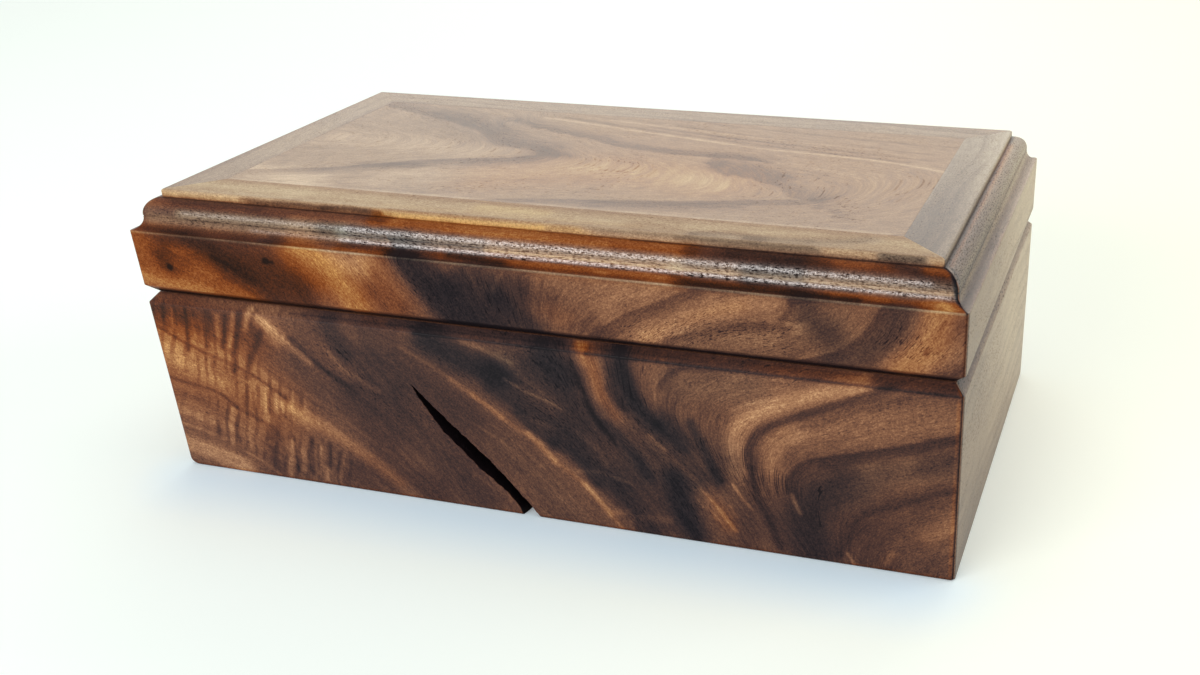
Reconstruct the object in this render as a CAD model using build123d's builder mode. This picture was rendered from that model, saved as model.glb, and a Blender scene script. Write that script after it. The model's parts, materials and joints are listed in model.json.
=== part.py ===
from build123d import *
import os
from math import acos, degrees

# A keepsake box of thick mitred boards with a flush panelled lid.
# Millimetres. Origin under the middle of the base, front towards -Y, +Z up.

# Carcass
width = 300.0
depth = 162.0
body_height = 71.2
lid_height = 36.8
seam_gap = 0.4              # daylight between body and lid when shut
wall_t = 25.4
seam_chamfer = 3.2          # planed on both sides of the seam, so that it reads as a V
edge_ease = 0.7             # sanded arrises
corner_ease = 1.1           # sanded upright corners

# Ogee moulding round the lid's top
ogee_depth = 9.5            # from the outer face in to the top plate
fillet_drop = 2.6           # upright step under the top plate
bead_r = 5.6                # rounded upper half
bead_flat = 0.5             # upright between the bead and the cove
cove_lip = 0.4              # how far the cove stops short of level

# Panels, let in flush by a tongue in a groove
panel_t = 12.0
tongue_t = 5.0
tongue_l = 6.0
tongue_set_in = 3.5         # from the panel's outer face to its tongue
groove_play = 0.3           # room for the panel to swell

# Butt hinges in the seam at the back
hinge_inset = 40.0          # from the box's end to the hinge
hinge_length = 44.0
leaf_t = 1.2
leaf_width = 15.0           # from the pin's axis
barrel_r = 2.4
pin_r = 1.2
pin_play = 0.05             # radial, pin in knuckle
pin_set_out = 0.5           # pin's axis behind the root of the V
knuckles = 5
knuckle_play = 0.15         # along the pin, between two knuckles
barrel_play = 0.3           # barrel to the boards and to the other leaf
mortise_play = 0.1          # round a leaf's edges

# Countersunk slotted wood screws
screw_r = 1.1
screw_head_r = 2.1
screw_length = 9.5
screw_point = 2.0
screw_play = 0.05
screw_spacing = 15.0
screw_row = 9.3             # from the pin's axis
screw_stagger = 2.4         # the middle screw stands further in
slot_width = 0.6
slot_depth = 0.5

# Natural check in the front board: a split that opens towards the bottom edge.
# Its edges are points from its foot, across and up.
check_foot_x = -3.4
check_depth = 15.0
check_tip = (-41.5, 48.6)
check_upper = [(-38.1, 44.8), (-31.5, 38.2), (-20.6, 27.5), (-13.8, 21.4), (-5.1, 11.3), (3.0, 1.2)]
check_lower = [(-4.1, 3.0), (-8.6, 9.1), (-19.0, 17.9), (-29.6, 29.7), (-31.1, 29.3), (-39.4, 43.7)]
check_mouth = [(4.6, -1.0), (-3.1, -1.0)]

# Worked out
inner_width = width - 2 * wall_t
inner_depth = depth - 2 * wall_t
lid_z = body_height + seam_gap
height = lid_z + lid_height
cove_r = ogee_depth - bead_r + cove_lip
pin_y = depth / 2 - seam_chamfer - seam_gap / 2 + pin_set_out
pin_z = body_height + seam_gap / 2
hinge_x = width / 2 - hinge_inset - hinge_length / 2
knuckle_pitch = hinge_length / knuckles
lid_groove_z = lid_height - tongue_set_in - tongue_t

# Each board is drawn on its own plane: X along the board, Y into the box, Z up.
front = Plane(origin=(0, -depth / 2, 0), x_dir=(1, 0, 0), z_dir=(0, 0, 1))
back = Plane(origin=(0, depth / 2, 0), x_dir=(-1, 0, 0), z_dir=(0, 0, 1))
right = Plane(origin=(width / 2, 0, 0), x_dir=(0, 1, 0), z_dir=(0, 0, 1))
left = Plane(origin=(-width / 2, 0, 0), x_dir=(0, -1, 0), z_dir=(0, 0, 1))

def body_profile():
    """Section of a body board: u into the box, v up. Chamfered at the seam, grooved for the bottom."""
    groove_u = wall_t - tongue_l - groove_play
    with BuildLine() as outline:
        Polyline(
            (edge_ease, 0),
            (wall_t, 0),
            (wall_t, tongue_set_in),
            (groove_u, tongue_set_in),
            (groove_u, tongue_set_in + tongue_t),
            (wall_t, tongue_set_in + tongue_t),
            (wall_t, body_height),
            (seam_chamfer, body_height),
            (0, body_height - seam_chamfer),
            (0, edge_ease),
            close=True,
        )
    return outline.line


def lid_profile():
    """Section of a lid board from its seam edge up: chamfer, band, cove, bead, fillet and flat top."""
    groove_u = wall_t - tongue_l - groove_play
    bead_foot = lid_height - fillet_drop - bead_r
    cove_top = bead_foot - bead_flat
    cove_u = ogee_depth - bead_r - cove_r
    with BuildLine() as outline:
        Polyline(
            (0, seam_chamfer),
            (seam_chamfer, 0),
            (wall_t, 0),
            (wall_t, lid_groove_z),
            (groove_u, lid_groove_z),
            (groove_u, lid_groove_z + tongue_t),
            (wall_t, lid_groove_z + tongue_t),
            (wall_t, lid_height),
            (ogee_depth + edge_ease, lid_height),
            (ogee_depth, lid_height - edge_ease),
            (ogee_depth, lid_height - fillet_drop),
        )
        CenterArc((ogee_depth, bead_foot), bead_r, 90, 90)
        Line((ogee_depth - bead_r, bead_foot), (ogee_depth - bead_r, cove_top))
        cove = CenterArc((cove_u, cove_top), cove_r, 0, -degrees(acos(-cove_u / cove_r)))
        Line(cove @ 1, (0, seam_chamfer))
    return outline.line


def mitred_board(face, length, board_z, board_height, profile):
    """Board of one section along its face plane, mitred at both ends, its upright corners eased."""
    half = length / 2
    with BuildPart() as board:
        with BuildSketch(face.offset(board_z)):
            with BuildLine():
                Polyline(
                    (-half + corner_ease, 0),
                    (half - corner_ease, 0),
                    (half - corner_ease / 2, corner_ease / 2),
                    (half - wall_t, wall_t),
                    (wall_t - half, wall_t),
                    (corner_ease / 2 - half, corner_ease / 2),
                    close=True,
                )
            make_face()
        extrude(amount=board_height)
        start = face.offset(board_z).origin - face.x_dir * half
        with BuildSketch(Plane(origin=start, x_dir=face.y_dir, z_dir=face.x_dir)):
            add(profile)
            make_face()
        extrude(amount=length, mode=Mode.INTERSECT)
    return board.part


def flush_panel(panel_z, tongue_z):
    """Panel that fills the frame, with a tongue all round at tongue_z above its underside."""
    with BuildPart() as panel:
        with BuildSketch(Plane.XY.offset(panel_z)):
            Rectangle(inner_width, inner_depth)
        extrude(amount=panel_t)
        with BuildSketch(Plane.XY.offset(panel_z + tongue_z)):
            Rectangle(inner_width + 2 * tongue_l, inner_depth + 2 * tongue_l)
        extrude(amount=tongue_t)
    return panel.part


def body_face(x):
    """Upper face of the back board at a hinge: Y towards the back from the pin, Z out of the board."""
    return Plane(origin=(x, pin_y, body_height), x_dir=(1, 0, 0), z_dir=(0, 0, 1))


def lid_face(x):
    """Lower face of the lid's back board at a hinge, with the same directions."""
    return Plane(origin=(x, pin_y, lid_z), x_dir=(-1, 0, 0), z_dir=(0, 0, -1))


def barrel_section(x):
    """Plane square to the pin at x."""
    return Plane(origin=(x, pin_y, pin_z), z_dir=(1, 0, 0))


def screw_places():
    """The three screw centres on a leaf, the middle one set further in."""
    return [
        (-screw_spacing, -screw_row),
        (0, -screw_row - screw_stagger),
        (screw_spacing, -screw_row),
    ]


def hinge_housing(face):
    """What a back board loses to a hinge: leaf mortise, barrel recess and pilot holes."""
    with BuildPart() as housing:
        with BuildSketch(face):
            with Locations((0, -leaf_width / 2)):
                Rectangle(hinge_length + 2 * mortise_play, leaf_width + 2 * mortise_play)
        extrude(amount=-leaf_t)
        with BuildSketch(barrel_section(face.origin.X - hinge_length / 2 - barrel_play)):
            Circle(barrel_r + barrel_play)
        extrude(amount=hinge_length + 2 * barrel_play)
        with BuildSketch(face.offset(-leaf_t)):
            with Locations(*screw_places()):
                Circle(screw_r + screw_play)
        extrude(amount=-(screw_length - leaf_t + screw_play))
    return housing.part


def hinge_leaf(face, first_knuckle):
    """Leaf with every second knuckle of the barrel, notched clear of the other leaf's knuckles."""
    barrel_start = face.origin.X - hinge_length / 2
    with BuildPart() as leaf:
        with BuildSketch(face):
            with Locations((0, -leaf_width / 2)):
                Rectangle(hinge_length, leaf_width)
        extrude(amount=-leaf_t)
        for k in range(1 - first_knuckle, knuckles, 2):
            with BuildSketch(barrel_section(barrel_start + k * knuckle_pitch - knuckle_play / 2)):
                Circle(barrel_r + barrel_play)
            extrude(amount=knuckle_pitch + knuckle_play, mode=Mode.SUBTRACT)
        for k in range(first_knuckle, knuckles, 2):
            with BuildSketch(barrel_section(barrel_start + k * knuckle_pitch + knuckle_play / 2)):
                Circle(barrel_r)
            extrude(amount=knuckle_pitch - knuckle_play)
        with BuildSketch(barrel_section(barrel_start)):
            Circle(pin_r + pin_play)
        extrude(amount=hinge_length, mode=Mode.SUBTRACT)
        with Locations(face):
            with Locations(*screw_places()):
                CounterSinkHole(radius=screw_r + screw_play, counter_sink_radius=screw_head_r + screw_play)
    return leaf.part


def hinge_pin(x):
    """Plain pin as long as the barrel, its ends slightly broken."""
    with BuildPart() as pin:
        with BuildSketch(barrel_section(x - hinge_length / 2)):
            Circle(pin_r)
        extrude(amount=hinge_length)
        chamfer(pin.edges().filter_by(GeomType.CIRCLE), length=pin_r / 5)
    return pin.part


def leaf_screws(face):
    """The three screws of one leaf: flat head, shank and point, with a slot."""
    neck_z = -(screw_head_r - screw_r)
    with BuildPart() as screws:
        for u, v in screw_places():
            spot = face.from_local_coords((u, v, 0))
            with BuildSketch(Plane(origin=spot, x_dir=face.x_dir, z_dir=-face.y_dir)):
                with BuildLine():
                    Polyline(
                        (0, 0),
                        (screw_head_r, 0),
                        (screw_r, neck_z),
                        (screw_r, screw_point - screw_length),
                        (0, -screw_length),
                        close=True,
                    )
                make_face()
            revolve(axis=Axis(spot, face.z_dir))
            with BuildSketch(face):
                with Locations((u, v)):
                    Rectangle(2 * screw_head_r, slot_width)
            extrude(amount=-slot_depth, mode=Mode.SUBTRACT)
    return screws.part


os.makedirs("parts", exist_ok=True)

# Body boards
with BuildPart() as body_front_board:
    add(mitred_board(front, width, 0, body_height, body_profile()))
    with BuildSketch(Plane(origin=(check_foot_x, -depth / 2, 0), x_dir=(1, 0, 0), z_dir=(0, -1, 0))):
        with BuildLine():
            Polyline(check_tip, *check_upper, *check_mouth, *check_lower, close=True)
        make_face()
    extrude(amount=-check_depth, mode=Mode.SUBTRACT)
body_front_board.part.label = "body_front_board"
export_step(body_front_board.part, "parts/body_front_board.step")

with BuildPart() as body_left_board:
    add(mitred_board(left, depth, 0, body_height, body_profile()))
body_left_board.part.label = "body_left_board"
export_step(body_left_board.part, "parts/body_left_board.step")

with BuildPart() as body_right_board:
    add(mitred_board(right, depth, 0, body_height, body_profile()))
body_right_board.part.label = "body_right_board"
export_step(body_right_board.part, "parts/body_right_board.step")

with BuildPart() as body_back_board:
    add(mitred_board(back, width, 0, body_height, body_profile()))
    for x in (-hinge_x, hinge_x):
        add(hinge_housing(body_face(x)), mode=Mode.SUBTRACT)
body_back_board.part.label = "body_back_board"
export_step(body_back_board.part, "parts/body_back_board.step")

with BuildPart() as bottom_panel:
    add(flush_panel(0, tongue_set_in))
bottom_panel.part.label = "bottom_panel"
export_step(bottom_panel.part, "parts/bottom_panel.step")

# Lid boards
with BuildPart() as lid_front_board:
    add(mitred_board(front, width, lid_z, lid_height, lid_profile()))
lid_front_board.part.label = "lid_front_board"
export_step(lid_front_board.part, "parts/lid_front_board.step")

with BuildPart() as lid_left_board:
    add(mitred_board(left, depth, lid_z, lid_height, lid_profile()))
lid_left_board.part.label = "lid_left_board"
export_step(lid_left_board.part, "parts/lid_left_board.step")

with BuildPart() as lid_right_board:
    add(mitred_board(right, depth, lid_z, lid_height, lid_profile()))
lid_right_board.part.label = "lid_right_board"
export_step(lid_right_board.part, "parts/lid_right_board.step")

with BuildPart() as lid_back_board:
    add(mitred_board(back, width, lid_z, lid_height, lid_profile()))
    for x in (-hinge_x, hinge_x):
        add(hinge_housing(lid_face(x)), mode=Mode.SUBTRACT)
lid_back_board.part.label = "lid_back_board"
export_step(lid_back_board.part, "parts/lid_back_board.step")

with BuildPart() as lid_top_panel:
    add(flush_panel(height - panel_t, panel_t - tongue_set_in - tongue_t))
lid_top_panel.part.label = "lid_top_panel"
export_step(lid_top_panel.part, "parts/lid_top_panel.step")

# Hinges
for side, x in (("left", -hinge_x), ("right", hinge_x)):
    with BuildPart() as body_leaf:
        add(hinge_leaf(body_face(x), 0))
    body_leaf.part.label = f"hinge_{side}_body_leaf"
    export_step(body_leaf.part, f"parts/hinge_{side}_body_leaf.step")

    with BuildPart() as lid_leaf:
        add(hinge_leaf(lid_face(x), 1))
    lid_leaf.part.label = f"hinge_{side}_lid_leaf"
    export_step(lid_leaf.part, f"parts/hinge_{side}_lid_leaf.step")

    with BuildPart() as pin:
        add(hinge_pin(x))
    pin.part.label = f"hinge_{side}_pin"
    export_step(pin.part, f"parts/hinge_{side}_pin.step")

    with BuildPart() as body_screws:
        add(leaf_screws(body_face(x)))
    body_screws.part.label = f"hinge_{side}_body_screws"
    export_step(body_screws.part, f"parts/hinge_{side}_body_screws.step")

    with BuildPart() as lid_screws:
        add(leaf_screws(lid_face(x)))
    lid_screws.part.label = f"hinge_{side}_lid_screws"
    export_step(lid_screws.part, f"parts/hinge_{side}_lid_screws.step")
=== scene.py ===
"""Visual model of a walnut keepsake box: mitred boards, flush panels, ogee lid and brass hinges."""
import json
import logging
import math
import random
from dataclasses import dataclass
from enum import Enum
from typing import Callable, Optional, Sequence, Union

import bmesh
import bpy
import numpy as np
from mathutils import Matrix, Vector

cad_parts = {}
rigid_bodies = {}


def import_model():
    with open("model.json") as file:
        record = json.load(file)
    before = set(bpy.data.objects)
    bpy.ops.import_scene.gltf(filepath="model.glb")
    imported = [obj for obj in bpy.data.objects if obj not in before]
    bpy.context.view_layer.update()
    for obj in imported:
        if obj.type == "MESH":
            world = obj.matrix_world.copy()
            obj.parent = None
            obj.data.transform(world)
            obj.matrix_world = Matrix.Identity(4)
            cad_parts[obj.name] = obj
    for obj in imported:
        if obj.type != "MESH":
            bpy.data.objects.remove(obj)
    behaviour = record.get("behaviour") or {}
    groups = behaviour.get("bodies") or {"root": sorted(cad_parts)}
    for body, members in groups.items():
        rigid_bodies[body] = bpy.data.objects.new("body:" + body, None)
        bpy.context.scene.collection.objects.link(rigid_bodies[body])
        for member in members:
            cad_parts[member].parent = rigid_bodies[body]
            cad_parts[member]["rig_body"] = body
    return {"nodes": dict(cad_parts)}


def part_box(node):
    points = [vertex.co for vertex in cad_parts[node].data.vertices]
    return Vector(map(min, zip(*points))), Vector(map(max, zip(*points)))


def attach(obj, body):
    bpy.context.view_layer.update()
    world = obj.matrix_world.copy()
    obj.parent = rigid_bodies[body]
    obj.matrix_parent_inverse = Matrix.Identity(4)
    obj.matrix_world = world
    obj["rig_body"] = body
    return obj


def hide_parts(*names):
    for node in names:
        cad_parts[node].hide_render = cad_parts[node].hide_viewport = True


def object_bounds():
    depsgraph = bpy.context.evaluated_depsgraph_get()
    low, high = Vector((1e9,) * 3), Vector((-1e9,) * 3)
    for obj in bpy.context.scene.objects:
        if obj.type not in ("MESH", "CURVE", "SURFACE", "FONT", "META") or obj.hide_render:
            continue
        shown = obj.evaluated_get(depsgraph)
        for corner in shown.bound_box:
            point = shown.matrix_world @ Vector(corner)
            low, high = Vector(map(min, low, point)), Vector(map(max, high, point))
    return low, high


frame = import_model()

LOG = logging.getLogger("keepsake_box")
CAD_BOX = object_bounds()

# Shapes are worked out in millimetres and scaled once, when a piece takes its place.
MM = 0.001
TINY = 1e-9
FINE_MERGE = 1e-5
CLOSE_MERGE = 1e-4
CUT_MERGE = 1e-3
METAL_SHARP_OVER = 25.0
GRAIN_MAP = "grain"
WHITE = (1.0, 1.0, 1.0)

Point = tuple[float, float]
Colour = tuple[float, float, float]
Number = Union[int, float]
Array = np.ndarray
Mesh = bpy.types.Mesh
Piece = bpy.types.Object
Material = bpy.types.Material


class Side(Enum):
    """The four walls, each with the turn in degrees from the front wall to it."""

    FRONT = 0
    RIGHT = 90
    BACK = 180
    LEFT = -90


class Layer(Enum):
    """What is kept on a mesh as an attribute for the finish to read."""

    TONE = "tone"
    WARMTH = "warmth"
    PALE = "pale"
    CURL = "curl"
    PORES = "pores"
    POLISH = "polish"


class Stain(Enum):
    """What a stroke leaves on the wood, as stain and figure or as painted shade and highlight: how far it
    moves each layer at full strength.
    """

    LIGHT = ((Layer.TONE, 0.30),)
    GLOW = ((Layer.TONE, 0.24), (Layer.WARMTH, 0.9))
    TAN = ((Layer.TONE, 0.27), (Layer.WARMTH, 0.28))
    RUST = ((Layer.TONE, -0.02), (Layer.WARMTH, 1.0))
    SHADE = ((Layer.TONE, -0.28),)
    KNOT = ((Layer.TONE, -0.55),)
    PLUM = ((Layer.TONE, -0.08), (Layer.WARMTH, -0.5))
    INK = ((Layer.TONE, -0.32), (Layer.WARMTH, -0.8), (Layer.PORES, 0.3))
    # The two pale kinds below also paint light: highlights on the moulding, the sheen of the right boards and
    # the paler, lit top face.
    PALE = ((Layer.PALE, 1.0), (Layer.TONE, 0.17))
    PAINTED_SHEEN = ((Layer.PALE, 1.0),)
    CURL = ((Layer.CURL, 1.0),)
    PORES = ((Layer.PORES, 1.0),)
    POLISH = ((Layer.POLISH, 1.0),)


# Node graphs


class Socket:
    """A value on its way through a node tree, so that sums of sockets are written as plain sums."""

    def __init__(self, graph: "Graph", socket: bpy.types.NodeSocket) -> None:
        """Wraps an output.

        Args:
            graph: the graph that the socket belongs to.
            socket: the output.
        """
        self.graph = graph
        self.socket = socket

    def __add__(self, other: "Term") -> "Socket":
        """This plus other."""
        return self.graph.maths("ADD", self, other)

    __radd__ = __add__

    def __sub__(self, other: "Term") -> "Socket":
        """This less other."""
        return self.graph.maths("SUBTRACT", self, other)

    def __rsub__(self, other: Number) -> "Socket":
        """Other less this."""
        return self.graph.maths("SUBTRACT", other, self)

    def __mul__(self, other: "Term") -> "Socket":
        """This times other."""
        return self.graph.maths("MULTIPLY", self, other)

    def __truediv__(self, other: "Term") -> "Socket":
        """This over other."""
        return self.graph.maths("DIVIDE", self, other)

    def __getitem__(self, name: str) -> "Socket":
        """Another output of the node that this comes from."""
        return Socket(self.graph, self.graph.find(self.socket.node.outputs, name))

    def size(self) -> "Socket":
        """This without its sign."""
        return self.graph.maths("ABSOLUTE", self)

    def least(self, other: "Term") -> "Socket":
        """The smaller of the two."""
        return self.graph.maths("MINIMUM", self, other)

    def most(self, other: "Term") -> "Socket":
        """The larger of the two."""
        return self.graph.maths("MAXIMUM", self, other)

    def clip(self) -> "Socket":
        """This held between zero and one."""
        return self.least(1.0).most(0.0)

    def rise(self, low: float, high: float) -> "Socket":
        """A smooth step from zero at low to one at high; low above high turns it round.

        Args:
            low: where the step is zero.
            high: where the step is one.

        Returns:
            The step.
        """
        values = {"Value": self, "From Min": low, "From Max": high}
        return self.graph.node("ShaderNodeMapRange", values, interpolation_type="SMOOTHSTEP")


Term = Union[Socket, Number]
Paint = Union[Socket, Colour]


class Graph:
    """A node tree while it is being made."""

    def __init__(self, tree: bpy.types.NodeTree) -> None:
        """Empties a tree for new nodes.

        Args:
            tree: the tree.
        """
        self.tree = tree
        tree.nodes.clear()

    def node(self, kind: str, values: Optional[dict] = None, output: str = "", **settings: object) -> Socket:
        """Adds any node.

        Args:
            kind: the node's type.
            values: sockets by name or number, each with a value or a link.
            output: the name of the output wanted, or the first that is in use.
            settings: its settings, set first; "items" are what a Capture Attribute keeps.

        Returns:
            The output, if the node has any.
        """
        made = self.tree.nodes.new(kind)
        for name, setting in settings.items():
            if name == "items":
                for data_type, label in setting:
                    made.capture_items.new(data_type, label)
            else:
                setattr(made, name, setting)
        for name, value in (values or {}).items():
            self._feed(self.find(made.inputs, name), value)
        return Socket(self, self.find(made.outputs, output)) if len(made.outputs) else None

    def maths(self, operation: str, *terms: Term) -> Socket:
        """A Math node on the terms."""
        return self.node("ShaderNodeMath", dict(enumerate(terms)), operation=operation)

    def scaled(self, vector: Socket, factors: Sequence[float]) -> Socket:
        """A vector times the three factors."""
        return self.node("ShaderNodeVectorMath", {0: vector, 1: tuple(factors)}, operation="MULTIPLY")

    def vector(self, x: Term = 0.0, y: Term = 0.0, z: Term = 0.0) -> Socket:
        """A vector of three values."""
        return self.node("ShaderNodeCombineXYZ", {"X": x, "Y": y, "Z": z})

    def noise(self, at: Union[Socket, tuple], detail: float = 3.0, roughness: float = 0.55) -> Socket:
        """Even noise about a half, one wave to a unit.

        Args:
            at: where it is read, a vector or its parts.
            detail: how many finer layers it has.
            roughness: how strong the finer layers are.

        Returns:
            The noise, from zero to one.
        """
        place = at if isinstance(at, Socket) else self.vector(*at)
        values = {"Vector": place, "Scale": 1.0, "Detail": detail, "Roughness": roughness}
        return self.node("ShaderNodeTexNoise", values)

    def mix(self, share: Term, first: Paint, second: Paint, blend: str = "MIX") -> Socket:
        """One colour mixed with another by a share, in the way that blend names."""
        values = {"Factor": share, "A": first, "B": second}
        return self.node("ShaderNodeMix", values, data_type="RGBA", blend_type=blend)

    def ramp(self, share: Socket, stops: Sequence[tuple[float, Colour]]) -> Socket:
        """A colour ramp with stops, each a place and a colour.

        Args:
            share: what is read off the ramp.
            stops: its stops from left to right.

        Returns:
            The colour.
        """
        colour = self.node("ShaderNodeValToRGB", {"Fac": share})
        elements = colour.socket.node.color_ramp.elements
        while len(elements) < len(stops):
            elements.new(0.5)
        for element, (place, shade) in zip(elements, stops):
            element.position = place
            element.color = (*shade, 1.0)
        return colour

    def attribute(self, name: str) -> Socket:
        """A number kept on the mesh under that name."""
        return self.node("ShaderNodeAttribute", output="Fac", attribute_name=name)

    @staticmethod
    def find(sockets: bpy.types.bpy_prop_collection, name: Union[str, int]) -> bpy.types.NodeSocket:
        """The socket of that number, or the first in use of that name or of any name."""
        named = (s for s in sockets if s.enabled and name in ("", s.name))
        return sockets[name] if isinstance(name, int) else next(named)

    def _feed(self, socket: bpy.types.NodeSocket, value: object) -> None:
        """Links a socket, or sets its value, with alpha added to a plain colour.

        Args:
            socket: the input.
            value: a socket or a plain value.
        """
        if isinstance(value, Socket):
            self.tree.links.new(value.socket, socket)
        elif socket.type == "RGBA" and len(value) == 3:
            socket.default_value = (*value, 1.0)
        else:
            socket.default_value = value


# Finishes


@dataclass(frozen=True)
class Finish:
    """How a thing looks."""

    name: str

    def material(self) -> Material:
        """Builds the material.

        Returns:
            The material.
        """
        material = bpy.data.materials.new(self.name)
        material.use_nodes = True
        graph = Graph(material.node_tree)
        graph.node("ShaderNodeOutputMaterial", {"Surface": self.surface(graph)})
        return material

    def surface(self, graph: Graph) -> Socket:
        """The shader of the finish, with its nodes added to the graph."""
        raise NotImplementedError


@dataclass(frozen=True)
class Walnut(Finish):
    """Oiled walnut, read along and across the grain in millimetres from the piece's own map.

    Level is where plain wood stands between black and pale, and the depths say how far
    the yearly rings, the fibres, the short dashes and the broad clouds move it.
    """

    level: float = 0.50
    paleness: float = 0.0
    ring_spacing: float = 9.0
    ring_depth: float = 0.10
    ring_drift: float = 2.2
    fibre_length: float = 6.0
    fibre_rate: float = 1.5
    fibre_depth: float = 0.24
    dash_depth: float = 0.46
    speckle_depth: float = 0.68
    speckle_size: float = 0.62
    mottle_depth: float = 0.26
    cloud_depth: float = 0.20
    pore_share: float = 0.45
    pore_depth: float = 0.28
    curl_spacing: float = 4.6
    curl_lean: float = 0.27
    curl_depth: float = 0.15
    roughness: float = 0.42
    shine: float = 0.10
    groove: float = 0.22
    tear: float = 0.30
    coat_bend: float = 1.5
    gold_tint: Colour = (1.07, 0.96, 0.56)
    rust_tint: Colour = (1.33, 0.70, 0.19)
    cool_tint: Colour = (0.52, 0.76, 0.98)

    TONES = (
        (0.00, (0.009, 0.005, 0.006)),
        (0.18, (0.034, 0.017, 0.016)),
        (0.35, (0.072, 0.031, 0.023)),
        (0.50, (0.130, 0.055, 0.033)),
        (0.65, (0.220, 0.096, 0.051)),
        (0.80, (0.345, 0.165, 0.084)),
        (0.92, (0.500, 0.265, 0.135)),
        (1.00, (0.640, 0.370, 0.200)),
    )
    PALE_TONES = (
        (0.00, (0.030, 0.018, 0.014)),
        (0.35, (0.157, 0.096, 0.060)),
        (0.65, (0.378, 0.262, 0.163)),
        (1.00, (0.640, 0.515, 0.350)),
    )

    def surface(self, graph: Graph) -> Socket:
        """Adds the nodes of the finish.

        Args:
            graph: the material's graph.

        Returns:
            The shader.
        """
        grain = graph.node("ShaderNodeUVMap", uv_map=GRAIN_MAP)
        along = graph.node("ShaderNodeSeparateXYZ", {"Vector": grain}, "X")
        across = along["Y"]
        place = graph.node("ShaderNodeTexCoord", output="Object")
        millimetres = graph.scaled(place, (1 / MM,) * 3)
        up = graph.node("ShaderNodeSeparateXYZ", {"Vector": millimetres}, "Z")
        layers = {layer: graph.attribute(layer.value) for layer in Layer}

        # The yearly rings wander, so every line of the wood is read from one bent coordinate.
        cloud = graph.noise(graph.scaled(millimetres, (0.022, 0.022, 0.022)), 3.0, 0.5)
        wander = graph.noise((along * 0.018, across * 0.09, 0.0), 4.0, 0.55)
        run = across + (cloud - 0.5) * self.ring_drift + (wander - 0.5) * (1.6 * self.ring_drift)
        year = run / self.ring_spacing + (graph.noise((run * 0.05,), 1.0) - 0.5) * 2.0
        season = graph.maths("FRACT", year)
        late = season.rise(0.35, 0.97) * season.rise(1.0, 0.955)
        late = late * graph.noise((along * 0.01, run * 0.05, 7.0), 2.0).rise(0.35, 0.62)

        # Fibres, specks, pores and the ripple of curly wood.
        fibre = graph.noise((along / self.fibre_length, run * self.fibre_rate, 3.0), 6.0, 0.70)
        fine = graph.noise((along * (4.0 / self.fibre_length), run * 2.6, 5.0), 3.0, 0.65)
        mottle = graph.noise((along * 0.14, run * 0.40, 11.0), 3.0, 0.6)
        speckle = graph.noise(graph.scaled(millimetres, (1 / self.speckle_size,) * 3), 3.0, 0.75)
        pore_run = graph.noise((along * 0.62, run * 2.1, 9.0), 2.0, 0.5)
        pore_zone = graph.noise((along * 0.03, run * 0.12, 2.0), 2.0)
        pore_level = (pore_zone.rise(0.35, 0.62) * self.pore_share + layers[Layer.PORES]).clip()
        pore = (pore_run + pore_level * 0.10).rise(0.63, 0.71) * (pore_level * 1.6).clip()
        bent = graph.noise(graph.scaled(millimetres, (0.05, 0.05, 0.012)), 2.0) * 2.2
        shifted = graph.noise((run * 0.10, along * 0.01, 4.0), 1.0) * 0.7
        ripple = ((along - up * self.curl_lean) / self.curl_spacing + bent + shifted) * (2 * math.pi)
        patchy = graph.noise((along * 0.07, run * 0.16, 6.0), 2.0, 0.6)
        bars = 0.35 - graph.maths("SINE", ripple).rise(0.0, 0.9) * 1.3
        ripple = bars * patchy.rise(0.34, 0.60) + (patchy - 0.5) * 0.8
        curl = layers[Layer.CURL] * ripple * self.curl_depth

        # Stains end along the fibres rather than in a clean line.
        torn = ((fibre - 0.5) * 1.5 + (fine - 0.5) * 0.6) * self.tear
        tone = self.level + layers[Layer.TONE] * (1.0 + torn) + curl
        tone = tone + (fibre - 0.5) * self.fibre_depth + (fine - 0.5) * self.dash_depth
        tone = tone + (speckle - 0.5) * self.speckle_depth + (cloud - 0.5) * self.cloud_depth
        tone = tone + (mottle - 0.5) * self.mottle_depth - late * self.ring_depth - pore * self.pore_depth
        tone = tone.clip()
        pale = (layers[Layer.PALE] + self.paleness).clip()
        colour = graph.mix(pale, graph.ramp(tone, self.TONES), graph.ramp(tone, self.PALE_TONES))
        warmth = layers[Layer.WARMTH] * (1.0 + torn * 0.8)
        amber = graph.mix(tone.rise(0.45, 0.85), self.rust_tint, self.gold_tint)
        colour = graph.mix(warmth.clip(), colour, amber, "MULTIPLY")
        colour = graph.mix((warmth * -1.0).clip(), colour, self.cool_tint, "MULTIPLY")

        roughness = self.roughness + (fine - 0.5) * 0.20 + pore * 0.3 + (cloud - 0.5) * 0.08
        height = fibre * 0.5 + fine * 0.6 - pore * 2.0
        bump = graph.node("ShaderNodeBump", {"Strength": self.groove, "Distance": 0.0002, "Height": height})
        values = {
            "Base Color": colour,
            "Roughness": roughness,
            "Specular IOR Level": self.shine,
            "Coat Weight": (layers[Layer.POLISH] * (1.0 - pore) * (0.70 + (speckle - 0.5) * 4.6)).clip(),
            "Coat Roughness": 0.25,
            "Coat IOR": self.coat_bend,
            "Normal": bump,
        }
        return graph.node("ShaderNodeBsdfPrincipled", values)


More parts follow.
